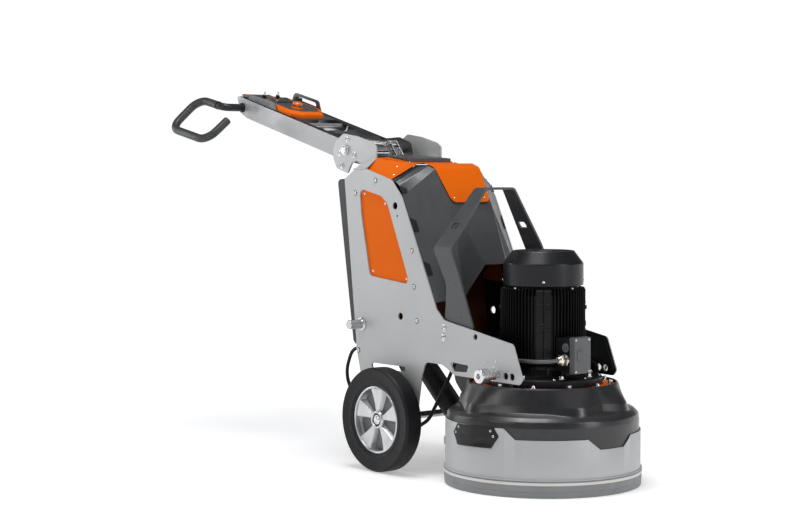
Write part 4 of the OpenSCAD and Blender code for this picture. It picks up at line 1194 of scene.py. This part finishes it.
def make_panel():
    bm = bmesh.new()
    prism(bm, rnd([(-776, 20, 3), (-776, 14, 2), (-400, 14, 2), (-400, 20, 3)], 3), -88.5, 88.5)
    bevel(bm, 1.2, 2)
    prism(bm, rnd([(-560, 14), (-552, -38, 10), (-480, -40, 10), (-470, 14)], 5), -70, 70)
    piece("panel_plate", bm, "graphite_paint", "handle", ("panel_deck",), place=MAST)
    bm = bmesh.new()
    prism(bm, rnd([(-776, 20.2), (-772, 27, 5), (-646, 27, 5), (-640, 20.2)], 4), -96, 34)
    bevel(bm, 1.6, 3)
    piece("panel_rear_hump", bm, "grey_plastic", "handle", place=MAST)
    bm = bmesh.new()
    for y0, y1, x0, x1 in ((-92, -86, -770, -655), (-60, -54, -700, -650), (22, 28, -770, -655)):
        prism(bm, rnd([(x0, 26.4), (x0 + 3, 29, 1), (x1 - 3, 29, 1), (x1, 26.4)], 2), y0, y1)
    bevel(bm, 0.6, 2)
    piece("panel_trim_strips", bm, "orange_paint", "handle", place=MAST)

    # housing: orange base with a dark inset top
    bm = bmesh.new()
    outline = rnd([(-632, -104, 10), (-632, 70, 10), (-470, 76, 14), (-404, 36, 14), (-402, -62, 14),
            (-440, -104, 16)], 5)
    def loop(k, z, dx=0.0):
        return [bm.verts.new((-520 + (p[0] + 520) * k + dx, -14 + (p[1] + 14) * k, z)) for p in outline]
    rings = [loop(1.0, DECK), loop(1.0, 30), loop(0.985, 34.5), loop(0.90, 41, -6), loop(0.86, 41.6, -7),
            loop(0.845, 38.5, -7)]
    skin(bm, rings, caps=(True, True))
    piece("panel_housing_frame", bm, "orange_paint", "handle", ("panel_housing",), place=MAST, smooth=45)
    bm = bmesh.new()
    rings = [loop(0.84, 38.6, -7), loop(0.84, 40.4, -7), loop(0.825, 41.0, -7)]
    skin(bm, rings, caps=(True, True))
    piece("panel_inset", bm, "graphite_paint", "handle", place=MAST)
    # guard plates: slotted on the far side, plain on the near side
    bm = bmesh.new()
    outer = rnd([(-690, DECK, 1), (-680, 60, 18), (-520, 64, 22), (-490, DECK, 1)], 7)
    slot = rnd([(-656, 38, 4), (-652, 50, 7), (-536, 53, 9), (-524, 38, 4)], 7)
    rings = [[bm.verts.new((x, y, z)) for x, z in loop_pts] for loop_pts,
            y in ((outer, 88.6), (outer, 94), (slot, 94), (slot, 88.6))]
    skin(bm, rings, closed=True)
    bevel(bm, 1.0, 2, 50)
    prism(bm, rnd([(-712, DECK), (-704, 42, 10), (-560, 49, 12), (-528, 44, 8), (-520, DECK)], 6), -109,
            -105)
    piece("panel_guard_plate", bm, "graphite_paint", "handle", place=MAST)
    # display
    bm = bmesh.new()
    prism(bm, rnd([(-618, 41), (-616, 44.5, 1), (-572, 44.5, 1), (-570, 41)], 3), -72, 8)
    bevel(bm, 0.8, 2)
    prism(bm, rnd([(-742, 27), (-740, 30.5, 1), (-702, 30.5, 1), (-700, 27)], 3), -78, -22)
    piece("panel_screens", bm, "display_glass", "handle", ("panel_display",), place=MAST)
    # emergency stop
    bm = bmesh.new()
    turned(bm, [(0.3, 38), (10, 38), (10, 54, 1), (17, 54.4, 1), (20, 56, 1.5), (20, 62, 3), (17, 65.4, 3),
            (9, 66, 2), (8, 65.2, 1), (0.3, 65.2)], 64, Matrix.Translation(STOP_AT), steps=4)
    piece("estop_mushroom", bm, "red_plastic", "estop", ("estop_button",), place=MAST)
    bm = bmesh.new()
    turned(bm, [(10.6, 41), (23, 41), (23, 45, 1.5), (19, 48, 1.5), (10.6, 48)], 64,
            Matrix.Translation(STOP_AT))
    piece("estop_collar", bm, "orange_paint", "handle", place=MAST)
    # knob with knurls and pointer
    bm = bmesh.new()
    def knurl(t, r, z):
        return (r * (1 - 0.035 * (math.cos(18 * t) > 0.1)) if 38 < z < 56 and r > 12 else r, z)
    turned(bm, [(0.3, 41.4), (17, 41.4), (17, 44, 1), (16, 46, 1), (14.6, 57, 2), (13, 58.6, 1),
            (0.3, 58.6)], 144, Matrix.Translation(KNOB_AT), mod=knurl)
    piece("speed_knob_cap", bm, "black_plastic", "speed_knob", ("speed_knob",), place=MAST)
    bm = bmesh.new()
    box(bm, (-591, 47, 58.2), (-589, 57, 59.1))
    piece("speed_knob_pointer", bm, "white_plastic", "speed_knob", place=MAST)
    # toggles with boots
    for s, y in ((-1, -60), (1, 5)):
        bm = bmesh.new()
        turned(bm, [(0.3, 30), (3, 30.5), (2.6, 44, 1), (4.2, 60, 2), (3.6, 63, 1), (0.3, 64)], 32,
                Matrix.Translation((TOGGLE_X, y, 0)))
        piece("toggle_lever_" + TAG[s], bm, "white_plastic", "toggle_" + TAG[s], ("toggle_" + TAG[s],),
                place=MAST)
        bm = bmesh.new()
        turned(bm, [(0.3, 31), (4.6, 31, 1), (6.5, 35, 1), (8, 46, 3), (6, 48, 1), (0.3, 48)], 32,
                Matrix.Translation((TOGGLE_X, y, 0)))
        piece("toggle_boot_" + TAG[s], bm, "black_plastic", "toggle_" + TAG[s], place=MAST)
        bm = bmesh.new()
        turned(bm, [(6, 26.5), (12, 26.5), (12, 28.5, 0.8), (8, 30, 1), (6, 30)], 32,
                Matrix.Translation((TOGGLE_X, y, 0)))
        piece("toggle_nut_" + TAG[s], bm, "zinc_steel", "handle", place=MAST)
    bm = bmesh.new()
    turned(bm, [(0.3, 46), (9, 46), (9, 50, 1), (7.5, 54.5, 1.5), (0.3, 54.5)], 40,
            Matrix.Translation(START_AT))
    piece("start_button_cap", bm, "green_plastic", "start_button", ("start_button",), place=MAST)
    bm = bmesh.new()
    turned(bm, [(9.4, 41), (12.5, 41), (12.5, 47, 1), (10.5, 49, 1), (9.4, 49)], 40,
            Matrix.Translation(START_AT))
    piece("start_button_ring", bm, "zinc_steel", "handle", place=MAST)


def make_pins():
    for s in SIDES:
        bm = bmesh.new()
        m = aim(Vector((PIN_X, 0, PIN_Z)), (0, s, 0))
        turned(bm, [(0.3, 198), (10, 198), (12.5, 201, 1), (12.5, 238), (16, 238, 1), (16, 270, 1.5),
                (19, 272), (23, 272), (24, 273.5, 1), (24, 308, 1.5), (22, 310, 1), (10, 310, 1),
                (9, 309, 1), (8.6, 298), (0.3, 297)], 56, m)
        tube(bm, [Vector((PIN_X + 11 * cosd(a), s * 246, PIN_Z + 16 + 11 * sind(a))) for a in range(-90,
                260, 12)], 1.4, 8)
        tube(bm, [Vector((PIN_X, s * 246, z)) for z in (362, 380, 400)], 2.6, 12)
        piece("lock_pin_body_" + TAG[s], bm, "zinc_steel", "lock_pin_" + TAG[s], ("lock_pin_" + TAG[s],))


setup_stage()
for name, ob in NODES.items():
    slot_name = next(p["material_slot"] for p in frame["record"]["subparts"] if p["node"] == name)
    if ob.material_slots:
        for ms in ob.material_slots:
            ms.material = M[slot_name]
    else:
        ob.data.materials.append(M[slot_name])
make_skirt()
make_dome()
make_motor()
make_terminal_box()
make_wheels()
make_covers()
make_chassis()
make_bow()
make_lines()
make_handle()
make_panel()
make_pins()
